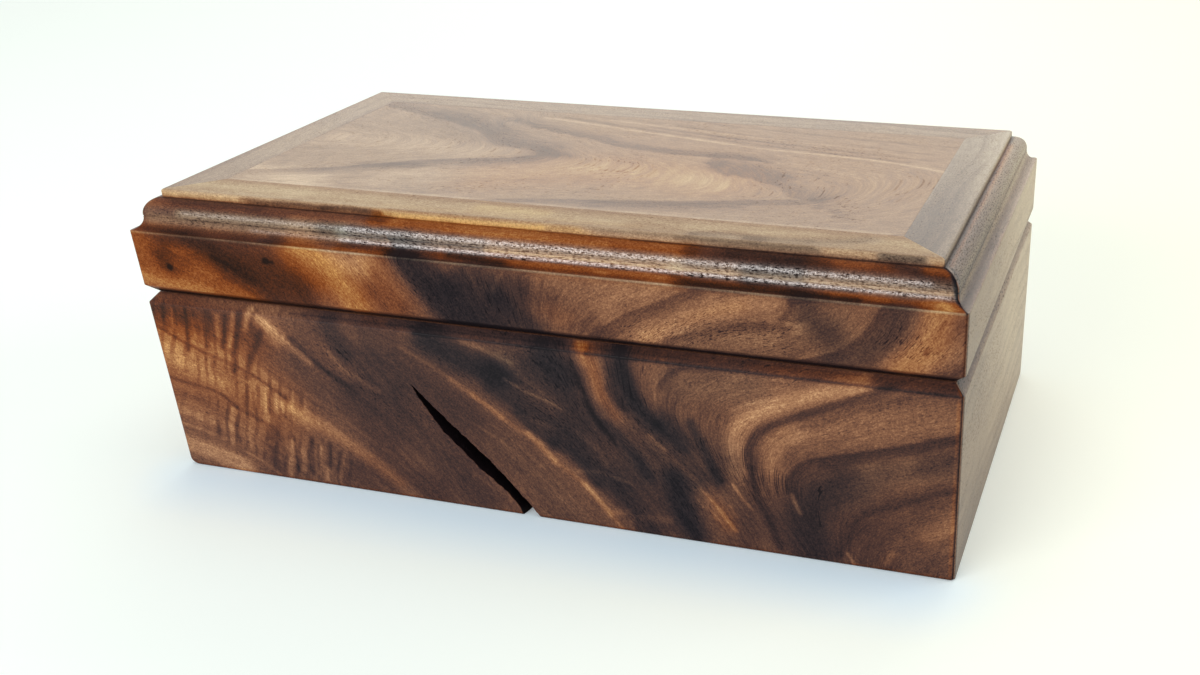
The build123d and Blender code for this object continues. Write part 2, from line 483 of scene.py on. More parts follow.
@dataclass(frozen=True)
class Brass(Finish):
    """Drawn brass that has dulled a little, with fine marks along its length."""

    colour: Colour = (0.60, 0.45, 0.22)
    dull_colour: Colour = (0.34, 0.24, 0.115)
    roughness: float = 0.27

    def surface(self, graph: Graph) -> Socket:
        """Adds the nodes of the finish.

        Args:
            graph: the material's graph.

        Returns:
            The shader.
        """
        place = graph.node("ShaderNodeTexCoord", output="Object")
        millimetres = graph.scaled(place, (1 / MM,) * 3)
        blotch = graph.noise(graph.scaled(millimetres, (0.16, 0.22, 0.22)), 4.0, 0.6)
        marks = graph.noise(graph.scaled(millimetres, (0.3, 5.0, 5.0)), 3.0, 0.6)
        colour = graph.mix(blotch.rise(0.38, 0.72) * 0.75, self.colour, self.dull_colour)
        roughness = self.roughness + (blotch - 0.5) * 0.25 + (marks - 0.5) * 0.18
        bump = graph.node("ShaderNodeBump", {"Strength": 0.12, "Distance": 0.00005, "Height": marks})
        values = {"Base Color": colour, "Metallic": 1.0, "Roughness": roughness, "Normal": bump}
        return graph.node("ShaderNodeBsdfPrincipled", values)


@dataclass(frozen=True)
class Tabletop(Finish):
    """Matt white of the floor: it takes the shadow, and where it is seen it is nearly white. Towards the
    right it turns cream, a painted tint for warm light from that side, and a bluish painted shadow lies along
    the foot of the box's front.
    """

    name: str = "tabletop"
    near_colour: Colour = (0.84, 0.87, 0.80)
    far_colour: Colour = (0.96, 0.885, 0.66)
    painted_shadow_colour: Colour = (0.64, 0.79, 0.89)
    painted_shadow_reach: float = 0.042
    haze: float = 0.18

    def surface(self, graph: Graph) -> Socket:
        """Adds the nodes of the finish.

        Args:
            graph: the material's graph.

        Returns:
            The shader.
        """
        place = graph.node("ShaderNodeTexCoord", output="Object")
        right = graph.node("ShaderNodeSeparateXYZ", {"Vector": place}, "X")
        ahead = right["Y"] * -1.0
        back = right - ahead * 0.3
        mottle = graph.noise(graph.scaled(place, (1.5, 1.5, 1.5)), 2.0)
        # Painted light: the floor turns cream towards the right, for the warm light from that side.
        share = (back + (mottle - 0.5) * 0.1).rise(-0.1, 0.6)
        colour = graph.mix(share, self.near_colour, self.far_colour)
        # Painted shadow: a bluish strip on the floor along the foot of the box's front.
        gap = graph.vector((right.size() - 0.132).most(0.0), (ahead - 0.081).most(0.0))
        near = graph.node("ShaderNodeVectorMath", {0: gap}, "Value", operation="LENGTH")
        painted_shadow = near.rise(self.painted_shadow_reach, 0.0) * ahead.rise(0.06, 0.09)
        colour = graph.mix(painted_shadow, colour, self.painted_shadow_colour)
        matt = graph.node("ShaderNodeBsdfDiffuse", {"Color": colour})
        white = graph.node("ShaderNodeEmission", {"Color": WHITE, "Strength": self.haze})
        bright = graph.node("ShaderNodeAddShader", {0: matt, 1: white})
        surface = graph.node("ShaderNodeMixShader", {0: seen_rays(graph), 1: matt, 2: bright})
        distance = graph.node("ShaderNodeVectorMath", {0: place}, "Value", operation="LENGTH")
        plain = graph.node("ShaderNodeEmission", {"Color": WHITE, "Strength": 1.0})
        far = distance.rise(1.0, 2.6) * seen_rays(graph)
        return graph.node("ShaderNodeMixShader", {0: far, 1: surface, 2: plain})


def seen_rays(graph: Graph) -> Socket:
    """One for rays that show a thing, to the camera or in a reflection, and zero for light."""
    rays = graph.node("ShaderNodeLightPath", output="Is Camera Ray")
    return rays.most(rays["Is Glossy Ray"]).most(rays["Is Transmission Ray"])


# The figure of the wood


@dataclass(frozen=True)
class GrainLine:
    """One line of the figure that the eye can follow, with the number of its ring in millimetres."""

    ring: float
    points: tuple[Point, ...]


@dataclass(frozen=True)
class Streak:
    """A stroke of stain, or of painted shade or highlight, along a few points on the board, in millimetres.

    Left and right are its half widths on the two sides, as seen along the stroke.
    """

    stain: Stain
    strength: float
    left: float
    right: float
    points: tuple[Point, ...]


def smooth_path(points: Sequence[Point], steps: int = 6) -> Array:
    """A curve through given points.

    Args:
        points: the points it passes.
        steps: how many pieces each span is cut into.

    Returns:
        The points of the curve, two columns.
    """
    if len(points) == 1:
        return np.array([points[0], (points[0][0] + 0.01, points[0][1])], float)
    knots = np.array(points, float)
    knots = np.vstack([2 * knots[0] - knots[1], knots, 2 * knots[-1] - knots[-2]])
    shares = np.linspace(0, 1, steps, endpoint=False)[:, None]
    spans = []
    for a, b, c, d in zip(knots, knots[1:], knots[2:], knots[3:]):
        spans.append(
            0.5 * (2 * b + (c - a) * shares + (2 * a - 5 * b + 4 * c - d) * shares**2
                   + (3 * b - a - 3 * c + d) * shares**3)
        )
    return np.vstack([*spans, knots[-2][None]])


class GrainField:
    """Ring numbers over a board, drawn out smoothly from a few grain lines like a thin bent plate."""

    BATCH = 4096

    def __init__(self, lines: Sequence[GrainLine], softness: float = 40.0) -> None:
        """Bends the field to the lines.

        Args:
            lines: the lines that the field follows.
            softness: how far it may miss them for the sake of a smooth run.
        """
        paths = [smooth_path(line.points, 2) for line in lines]
        self.knots = np.vstack(paths)
        rings = np.concatenate([np.full(len(p), line.ring) for p, line in zip(paths, lines)])
        count = len(self.knots)
        system = np.zeros((count + 3, count + 3))
        system[:count, :count] = self._bend(self.knots[:, None] - self.knots[None])
        system[:count, :count] += softness * np.eye(count)
        system[:count, count:] = np.column_stack([np.ones(count), self.knots])
        system[count:, :count] = system[:count, count:].T
        self.weights = np.linalg.solve(system, np.concatenate([rings, np.zeros(3)]))

    @staticmethod
    def _bend(gap: Array) -> Array:
        """How a plate bends at a gap from a point that lifts it."""
        square = (gap**2).sum(-1)
        return 0.5 * square * np.log(square + TINY)

    def __call__(self, places: Array) -> Array:
        """Ring numbers at places, an array with two columns.

        Args:
            places: where, two columns.

        Returns:
            The ring number at each place.
        """
        rings = np.empty(len(places))
        for start in range(0, len(places), self.BATCH):
            some = places[start : start + self.BATCH]
            bent = self._bend(some[:, None] - self.knots[None]) @ self.weights[:-3]
            rings[start : start + self.BATCH] = bent + self.weights[-3] + some @ self.weights[-2:]
        return rings


# How far a stroke reaches in half widths, and how steeply it falls off at its edge.
STROKE_REACH = 2.2
STROKE_FALL = 2.5


def stroke_weight(streak: Streak, places: Array) -> Array:
    """How strong one streak is at places.

    Args:
        streak: the streak.
        places: where, two columns.

    Returns:
        Its strength at each place.
    """
    path = smooth_path(streak.points)
    margin = STROKE_REACH * max(streak.left, streak.right)
    near = ((places > path.min(0) - margin) & (places < path.max(0) + margin)).all(1)
    found = np.zeros(len(places))
    if not near.any():
        return found
    some = places[near]
    nearest = np.full(len(some), 1e9)
    reach = np.ones(len(some))
    for start, end in zip(path, path[1:]):
        run = end - start
        offset = some - start
        share = np.clip(offset @ run / max(run @ run, TINY), 0, 1)
        gap = offset - share[:, None] * run
        distance = np.hypot(gap[:, 0], gap[:, 1])
        turn = run[0] * offset[:, 1] - run[1] * offset[:, 0]
        closer = distance < nearest
        nearest = np.where(closer, distance, nearest)
        reach = np.where(closer, np.where(turn > 0, streak.left, streak.right), reach)
    found[near] = streak.strength * np.exp(-((nearest / reach) ** STROKE_FALL))
    return found


@dataclass
class Figure:
    """What one board shows: its run of rings and its streaks of stain, painted shade and painted highlight.

    Lines left empty give straight grain. Slope and wave bend straight grain a little,
    and fringe says how far stains run out along the fibres, between the two torn heights
    and to the right of torn_past. Overlap is how much less a stroke adds where its stain
    already lies in full.
    """

    lines: tuple[GrainLine, ...] = ()
    streaks: tuple[Streak, ...] = ()
    slope: float = 0.03
    wave: float = 1.5
    wave_length: float = 90.0
    shift: float = 0.0
    straight_from: float = 1e9
    straight_over: float = 12.0
    fringe: float = 1.1
    inner_pale: float = 0.0
    torn_width: float = 1.35
    torn_past: float = -1e9
    torn_from: float = -1e9
    torn_to: float = 1e9
    torn_fade: float = 1.5
    overlap: float = 0.6

    def rings(self, places: Array) -> Array:
        """Ring numbers at places along the board and round its section.

        Args:
            places: where, two columns.

        Returns:
            The ring number at each place.
        """
        along, run = places[:, 0], places[:, 1]
        swing = self.wave * np.sin((along + self.shift * 7) / self.wave_length * 2 * math.pi + run / 40)
        straight = run + self.slope * along + swing + self.shift
        if not self.lines:
            return straight
        drawn = GrainField(self.lines)(places)
        share = np.clip((run - self.straight_from) / self.straight_over, 0, 1)
        share = share * share * (3 - 2 * share)
        return drawn + (straight - drawn) * share

    def layers(self, places: Array) -> dict[Layer, Array]:
        """Strength of each layer at places, each streak of a stain laid over the last.

        Args:
            places: where, two columns.

        Returns:
            The strength of each layer at each place.
        """
        rings = self.rings(places)
        slope = np.column_stack([self.rings(places + step) - rings for step in ((0.5, 0), (0, 0.5))])
        slope /= np.maximum(np.hypot(slope[:, 0], slope[:, 1]), 1e-6)[:, None]
        along, height = places.T
        fringe = np.sin(rings / 0.28 + 1.3 * np.sin(along / 23)) + np.sin(rings / 0.61 + height / 19)
        fringe = fringe + 1.4 * np.sin(rings / 1.3 + 2.0 * np.sin(along / 31))
        torn = np.clip((height - self.torn_from) / self.torn_fade, 0, 1)
        torn = torn * np.clip((self.torn_to - height) / self.torn_fade, 0, 1)
        torn = torn * np.clip((along - self.torn_past) / 15, 0, 1)
        fringe = (fringe * self.fringe * torn)[:, None]
        bent = places + np.column_stack([-slope[:, 1], slope[:, 0]]) * fringe
        laid = {stain: np.zeros(len(places)) for stain in Stain}
        for streak in self.streaks:
            fine = max(streak.left, streak.right) < self.torn_width
            weight = stroke_weight(streak, places if fine else bent)
            laid[streak.stain] += weight * (1 - self.overlap * np.clip(laid[streak.stain], 0, 1))
        found = {layer: np.zeros(len(places)) for layer in Layer}
        for stain, weight in laid.items():
            for layer, amount in stain.value:
                found[layer] += amount * weight
        return found


def pairs(values: Sequence[float]) -> tuple[Point, ...]:
    """Points from a run of their coordinates."""
    return tuple(zip(values[::2], values[1::2]))


def grain_lines(*rows: tuple) -> tuple[GrainLine, ...]:
    """Grain lines, each row its ring and the coordinates of its points."""
    return tuple(GrainLine(ring, pairs(run)) for ring, *run in rows)


def strokes(*entries: Union[Stain, tuple]) -> tuple[Streak, ...]:
    """Streaks set down in short form.

    Args:
        entries: stains, each before its rows: strength, half width or a pair of them, and the
            coordinates of the points.

    Returns:
        The streaks in order.
    """
    found = []
    stain = Stain.LIGHT
    for entry in entries:
        if isinstance(entry, Stain):
            stain = entry
            continue
        strength, width, *run = entry
        left, right = width if isinstance(width, tuple) else (width, width)
        found.append(Streak(stain, strength, left, right, pairs(run)))
    return tuple(found)


# Sections of the boards


@dataclass(frozen=True)
class Corner:
    """A corner of a section: into the box, up, and how far its arris is rounded."""

    u: float
    v: float
    round: float = 0.0


def arc(centre: Point, radius: float, start: float, end: float, steps: int) -> list[Corner]:
    """Points on an arc, from one angle to another in degrees."""
    angles = np.radians(np.linspace(start, end, steps + 1))
    return [Corner(centre[0] + radius * math.cos(a), centre[1] + radius * math.sin(a)) for a in angles]


def rounded(corners: Sequence[Corner], steps: int = 4) -> list[Point]:
    """A closed outline with its arrises rounded.

    Args:
        corners: the corners in order.
        steps: how many pieces a rounded arris has.

    Returns:
        The outline's points.
    """
    outline = []
    for before, corner, after in zip([corners[-1], *corners], corners, [*corners[1:], corners[0]]):
        here = Vector((corner.u, corner.v))
        if corner.round == 0:
            outline.append((here.x, here.y))
            continue
        back = (Vector((before.u, before.v)) - here).normalized()
        ahead = (Vector((after.u, after.v)) - here).normalized()
        half_angle = back.angle(ahead) / 2
        reach = corner.round / math.tan(half_angle)
        centre = here + (back + ahead).normalized() * (corner.round / math.sin(half_angle))
        first, last = here + back * reach - centre, here + ahead * reach - centre
        sweep = first.angle_signed(last)
        for step in range(steps + 1):
            spoke = first.copy()
            spoke.rotate(Matrix.Rotation(-sweep * step / steps, 2))
            outline.append(((centre + spoke).x, (centre + spoke).y))
    return outline


def divided(outline: Sequence[Point], step: Callable[[Point, Point], float]) -> list[Point]:
    """A closed outline with its long runs cut.

    Args:
        outline: the points.
        step: the longest piece allowed between two points.

    Returns:
        The points with the cuts added.
    """
    cut = []
    for a, b in zip(outline, [*outline[1:], outline[0]]):
        pieces = max(1, math.ceil(math.dist(a, b) / step(a, b)))
        for k in range(pieces):
            cut.append((a[0] + (b[0] - a[0]) * k / pieces, a[1] + (b[1] - a[1]) * k / pieces))
    return cut


@dataclass(frozen=True)
class BoxSizes:
    """Sizes of the box in millimetres: the large ones from the frame, the others as it is built."""

    width: float
    depth: float
    body_height: float
    lid_height: float
    lid_z: float
    wall: float
    seam_chamfer: float = 3.2
    ogee_depth: float = 9.5
    fillet_drop: float = 2.6
    bead_radius: float = 5.6
    bead_flat: float = 0.5
    cove_lip: float = 0.4
    panel_t: float = 12.0
    tongue_t: float = 5.0
    tongue_l: float = 6.0
    tongue_set_in: float = 3.5
    groove_play: float = 0.3

    @classmethod
    def from_frame(cls) -> "BoxSizes":
        """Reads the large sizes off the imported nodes.

        Returns:
            The sizes.
        """
        low, high = CAD_BOX
        body_low, body_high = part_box("body_front_board")
        lid_low, lid_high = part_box("lid_front_board")
        return cls(
            width=(high.x - low.x) / MM,
            depth=(high.y - low.y) / MM,
            body_height=(body_high.z - body_low.z) / MM,
            lid_height=(lid_high.z - lid_low.z) / MM,
            lid_z=lid_low.z / MM,
            wall=(body_high.y - body_low.y) / MM,
        )

    @property
    def cove_radius(self) -> float:
        """Radius of the hollow under the bead."""
        return self.ogee_depth - self.bead_radius + self.cove_lip

    @property
    def band_top(self) -> float:
        """Height of the lid's plain band above its seam edge.

        Returns:
            The height in millimetres.
        """
        lip_angle = math.acos(self.cove_lip / self.cove_radius)
        cove_top = self.lid_height - self.fillet_drop - self.bead_radius - self.bead_flat
        return cove_top - self.cove_radius * math.sin(lip_angle)

    def groove(self, low: float) -> list[Corner]:
        """Corners of the groove for a panel's tongue, from its lower edge up.

        Args:
            low: height of the tongue's underside.

        Returns:
            The corners.
        """
        depth_in = self.wall - self.tongue_l - self.groove_play
        high = low + self.tongue_t
        path = ((self.wall, low), (depth_in, low), (depth_in, high), (self.wall, high))
        return [Corner(u, v) for u, v in path]

    def body_section(self) -> list[Corner]:
        """Section of a body board.

        Returns:
            Its corners from the foot round the inside.
        """
        return [
            Corner(0, 0, 0.9),
            Corner(self.wall, 0, 0.2),
            *self.groove(self.tongue_set_in),
            Corner(self.wall, self.body_height, 0.7),
            Corner(self.seam_chamfer, self.body_height, 0.35),
            Corner(0, self.body_height - self.seam_chamfer, 0.45),
        ]

    def lid_section(self) -> list[Corner]:
        """Section of a lid board: chamfer, band, cove, bead, fillet and flat top.

        Returns:
            Its corners from the chamfer round the inside.
        """
        top = self.lid_height
        bead_foot = top - self.fillet_drop - self.bead_radius
        cove_top = bead_foot - self.bead_flat
        cove_centre = (-self.cove_lip, cove_top)
        lip_angle = math.degrees(math.acos(self.cove_lip / self.cove_radius))
        quirk = Corner(self.ogee_depth - self.bead_radius + 0.22, (bead_foot + cove_top) / 2)
        return [
            Corner(0, self.seam_chamfer, 0.45),
            Corner(self.seam_chamfer, 0, 0.35),
            Corner(self.wall, 0, 0.7),
            *self.groove(top - self.tongue_set_in - self.tongue_t),
            Corner(self.wall, top, 0.05),
            Corner(self.ogee_depth, top, 0.8),
            *arc((self.ogee_depth, bead_foot), self.bead_radius, 90, 180, 20),
            quirk,
            *arc(cove_centre, self.cove_radius, 0, -lip_angle + 4, 16),
            Corner(0, self.band_top, 0.25),
        ]


class PieceTree:
    """Geometry nodes with named inputs that end in plain geometry in one finish."""

    NAME: str
    START: str
    LENGTHS: tuple[str, ...]
    COUNTS: tuple[str, ...]

    def __init__(self) -> None:
        """Builds the tree."""
        self.tree = bpy.data.node_groups.new(self.NAME, "GeometryNodeTree")
        face = self.tree.interface
        inputs = [(self.START, "Geometry"), *((name, "Float") for name in self.LENGTHS)]
        inputs += [*((name, "Int") for name in self.COUNTS), ("Finish", "Material")]
        for name, kind in inputs:
            face.new_socket(name, in_out="INPUT", socket_type=f"NodeSocket{kind}")
        face.new_socket("Piece", in_out="OUTPUT", socket_type="NodeSocketGeometry")
        graph = Graph(self.tree)
        given = graph.node("NodeGroupInput", output=self.START)
        piece = graph.node("GeometryNodeRealizeInstances", {"Geometry": self.shape(graph, given)})
        painted = {"Geometry": piece, "Material": given["Finish"]}
        graph.node("NodeGroupOutput", {"Piece": graph.node("GeometryNodeSetMaterial", painted)})

    def shape(self, graph: Graph, given: Socket) -> Socket:
        """The shape that the tree draws, from the start that is given."""
        raise NotImplementedError

    def run(self, name: str, start: Mesh, inputs: dict) -> Mesh:
        """Runs the tree on a mesh and keeps the result as a plain mesh.

        Args:
            name: what the work is called meanwhile.
            start: the mesh that the nodes start from.
            inputs: the tree's inputs by name.

        Returns:
            The plain mesh.
        """
        piece = link_object(name, start)
        modifier = piece.modifiers.new("nodes", "NODES")
        modifier.node_group = self.tree
        identifiers = {s.name: s.identifier for s in self.tree.interface.items_tree if s.in_out == "INPUT"}
        for label, value in inputs.items():
            modifier[identifiers[label]] = value
        mesh = evaluated_mesh(piece)
        piece.modifiers.remove(modifier)
        bpy.data.objects.remove(piece)
        return mesh


class SweepTree(PieceTree):
    """Draws a board from its section: swept along, mitred, its upright corners rounded."""

    NAME = "mitred_board"
    START = "Section"
    LENGTHS = ("Length", "Corner Radius", "Corner Fade")
    COUNTS = ("Stations", "Corner Steps")

    def shape(self, graph: Graph, given: Socket) -> Socket:
        """Adds the nodes of the sweep.

        Args:
            graph: the tree's graph.
            given: the section.

        Returns:
            The board.
        """
        stations = given["Stations"]
        profile = graph.node("GeometryNodeMeshToCurve", {"Mesh": given})
        place = graph.node("GeometryNodeInputPosition")
        kept = {"Geometry": profile, "Corner": place}
        profile = graph.node("GeometryNodeCaptureAttribute", kept, items=(("VECTOR", "Corner"),))
        corner = profile["Corner"]
        line = graph.node("GeometryNodeCurvePrimitiveLine", {"Start": (-1, 0, 0), "End": (1, 0, 0)})
        line = graph.node("GeometryNodeResampleCurve", {"Curve": line, "Count": stations})
        share = graph.node("GeometryNodeSplineParameter", output="Factor")
        kept = {"Geometry": line, "Share": share}
        line = graph.node("GeometryNodeCaptureAttribute", kept, items=(("FLOAT", "Share"),))
        share = line["Share"]
        ends = {"Curve": line, "Profile Curve": profile, "Fill Caps": True}
        board = graph.node("GeometryNodeCurveToMesh", ends)

        inward = graph.node("ShaderNodeSeparateXYZ", {"Vector": corner}, "Y")
        up = inward["Z"]
        half = given["Length"] * 0.5
        straight_share = 1.0 - given["Corner Steps"] * 2.0 / (stations - 1.0)
        way = share * 2.0 - 1.0
        bend = ((way.size() - straight_share) / (1.0 - straight_share)).clip() * (math.pi / 4)
        fade = (1.0 - inward / given["Corner Fade"]).clip()
        radius = given["Corner Radius"] * fade
        straight = (half - inward - radius) * (way.size() / straight_share).least(1.0)
        x = graph.maths("SIGN", way) * (straight + radius * graph.maths("SINE", bend))
        y = inward + radius * (1.0 - graph.maths("COSINE", bend))
        return graph.node("GeometryNodeSetPosition", {"Geometry": board, "Position": graph.vector(x, y, up)})


def evaluated_mesh(piece: Piece) -> Mesh:
    """A plain mesh of a piece with its modifiers worked in.

    Args:
        piece: the piece.

    Returns:
        The mesh.
    """
    bpy.context.view_layer.update()
    graph = bpy.context.evaluated_depsgraph_get()
    done = piece.evaluated_get(graph)
    return bpy.data.meshes.new_from_object(done, preserve_all_data_layers=True, depsgraph=graph)


def link_object(name: str, data: bpy.types.ID) -> Piece:
    """An object of a mesh, a lamp or a camera, in the scene.

    Args:
        name: the object's name.
        data: the mesh, lamp or camera.

    Returns:
        The object.
    """
    piece = bpy.data.objects.new(name, data)
    bpy.context.scene.collection.objects.link(piece)
    return piece


def mesh_from(name: str, vertices: Sequence, faces: Sequence, edges: Sequence = ()) -> Mesh:
    """A new mesh of vertices, edges and faces.

    Args:
        name: the mesh's name.
        vertices: places of the vertices.
        faces: vertex numbers of each face.
        edges: vertex numbers of edges that have no face.

    Returns:
        The mesh.
    """
    mesh = bpy.data.meshes.new(name)
    mesh.from_pydata([tuple(v) for v in vertices], list(edges), list(faces))
    mesh.update()
    return mesh


def tidy_mesh(mesh: Mesh, merge: float = 0.002, sharp_over: float = 33.0) -> None:
    """Merges doubles, turns faces outwards and shades smooth up to an angle in degrees.

    Args:
        mesh: the mesh.
        merge: how near vertices are that become one.
        sharp_over: the angle between faces from which an edge stays sharp.
    """
    shell = bmesh.new()
    shell.from_mesh(mesh)
    bmesh.ops.remove_doubles(shell, verts=shell.verts, dist=merge)
    bmesh.ops.dissolve_degenerate(shell, edges=shell.edges, dist=merge / 4)
    bmesh.ops.recalc_face_normals(shell, faces=shell.faces)
    shell.to_mesh(mesh)
    shell.free()
    mesh.shade_smooth()
    mesh.set_sharp_from_angle(angle=math.radians(sharp_over))


def cut_away(mesh: Mesh, cutters: Sequence[Mesh]) -> Mesh:
    """A mesh less the cutters.

    Args:
        mesh: the closed mesh that is cut.
        cutters: closed meshes to take away, one after another.

    Returns:
        The mesh that is left.
    """
    work = link_object("cutting", mesh)
    tools = [link_object("cutter", cutter) for cutter in cutters]
    for tool in tools:
        modifier = work.modifiers.new("cut", "BOOLEAN")
        modifier.operation = "DIFFERENCE"
        modifier.solver = "EXACT"
        modifier.object = tool
    left = evaluated_mesh(work)
    for spare in (work, *tools):
        bpy.data.objects.remove(spare)
    return left


def loft(rings: Sequence[Sequence[tuple[float, float, float]]]) -> Mesh:
    """A closed mesh through rings of points.

    Args:
        rings: the rings in order, each with as many points as the last.

    Returns:
        The mesh, with a face on the first ring and on the last.
    """
    count = len(rings[0])
    vertices = [point for ring in rings for point in ring]
    faces = [tuple(range(count)), tuple(range(len(vertices) - 1, len(vertices) - count - 1, -1))]
    for start in range(0, len(vertices) - count, count):
        for k in range(count):
            a, b = start + k, start + (k + 1) % count
            faces.append((a, b, b + count, a + count))
    mesh = mesh_from("loft", vertices, faces)
    tidy_mesh(mesh, FINE_MERGE)
    return mesh


def block(low: Sequence[float], high: Sequence[float]) -> Mesh:
    """A closed block between two corners."""
    ring = ((low[0], low[2]), (high[0], low[2]), (high[0], high[2]), (low[0], high[2]))
    return loft([[(x, y, z) for x, z in ring] for y in (low[1], high[1])])


def place_mesh(mesh: Mesh, side: Side, sizes: BoxSizes, base: float) -> None:
    """Moves a mesh from its board's own plane to its place in the box, in metres.

    Args:
        mesh: the mesh, in millimetres.
        side: the wall that the board is.
        sizes: sizes of the box.
        base: height of the board's foot.
    """
    reach = sizes.depth / 2 if side in (Side.FRONT, Side.BACK) else sizes.width / 2
    turn = Matrix.Rotation(math.radians(side.value), 4, "Z")
    there = turn @ Matrix.Translation((0, -reach, base))
    mesh.transform(Matrix.Scale(MM, 4) @ there)


def finished(name: str, mesh: Mesh, finish: Material, slot: str, body: str, *nodes: str) -> Piece:
    """Makes a piece of a mesh.

    Args:
        name: the piece's name.
        mesh: the mesh, in metres and in its place.
        finish: what it looks like.
        slot: not used.
        body: the body that it rides on.
        nodes: the CAD nodes that it stands for.

    Returns:
        The piece.
    """
    mesh.materials.clear()
    mesh.materials.append(finish)
    piece = link_object(name, mesh)
    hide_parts(*nodes)
    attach(piece, body)
    return piece


def paint_corners(
    mesh: Mesh, figure: Figure, places: Array, straight: Array, painted_shade: Union[Array, float] = 0.0
) -> None:
    """Keeps the figure on a mesh: the grain map and one attribute for each layer.

    Args:
        mesh: the mesh.
        figure: what the board shows.
        places: along and round the section for each face corner, in millimetres.
        straight: true where a corner is on a hidden or inner face, which has plain grain.
        painted_shade: painted shade, how much darker each corner is made than the figure says, as in the
            depth of a split.
    """
    rings = places[:, 1] + 0.02 * places[:, 0]
    shown = ~straight
    single, back = np.unique(np.round(places[shown], 3), axis=0, return_inverse=True)
    back = back.ravel()
    rings[shown] = figure.rings(single)[back]
    layers = figure.layers(single)
    grain = mesh.uv_layers.new(name=GRAIN_MAP)
    grain.data.foreach_set("uv", np.column_stack([places[:, 0], rings]).astype(np.float32).ravel())
    for layer in Layer:
        values = np.full(len(places), figure.inner_pale if layer is Layer.PALE else 0.0, np.float32)
        values[shown] = layers[layer][back]
        if layer is Layer.TONE:
            values -= np.float32(painted_shade)
        kept = mesh.attributes.new(layer.value, "FLOAT", "CORNER")
        kept.data.foreach_set("value", values)


def read_all(items: bpy.types.bpy_prop_collection, name: str, kind: type = np.float32) -> Array:
    """One value, or three, of each item of a mesh.

    Args:
        items: the vertices, corners or faces.
        name: the value's name.
        kind: whole numbers, which come alone, or decimals, which come in threes.

    Returns:
        The values, in three columns if they are threes.
    """
    whole = kind is np.int32
    values = np.empty(len(items) * (1 if whole else 3), kind)
    items.foreach_get(name, values)
    return values if whole else values.reshape(-1, 3).astype(float)


def corner_arrays(mesh: Mesh) -> tuple[Array, Array, Array]:
    """Place of each face corner, and its face's normal and middle, three columns each.

    Args:
        mesh: the mesh.

    Returns:
        The places, the normals and the middles.
    """
    counts = read_all(mesh.polygons, "loop_total", np.int32)
    owner = np.repeat(np.arange(len(counts)), counts)
    places = read_all(mesh.vertices, "co")[read_all(mesh.loops, "vertex_index", np.int32)]
    return places, read_all(mesh.polygons, "normal")[owner], read_all(mesh.polygons, "center")[owner]


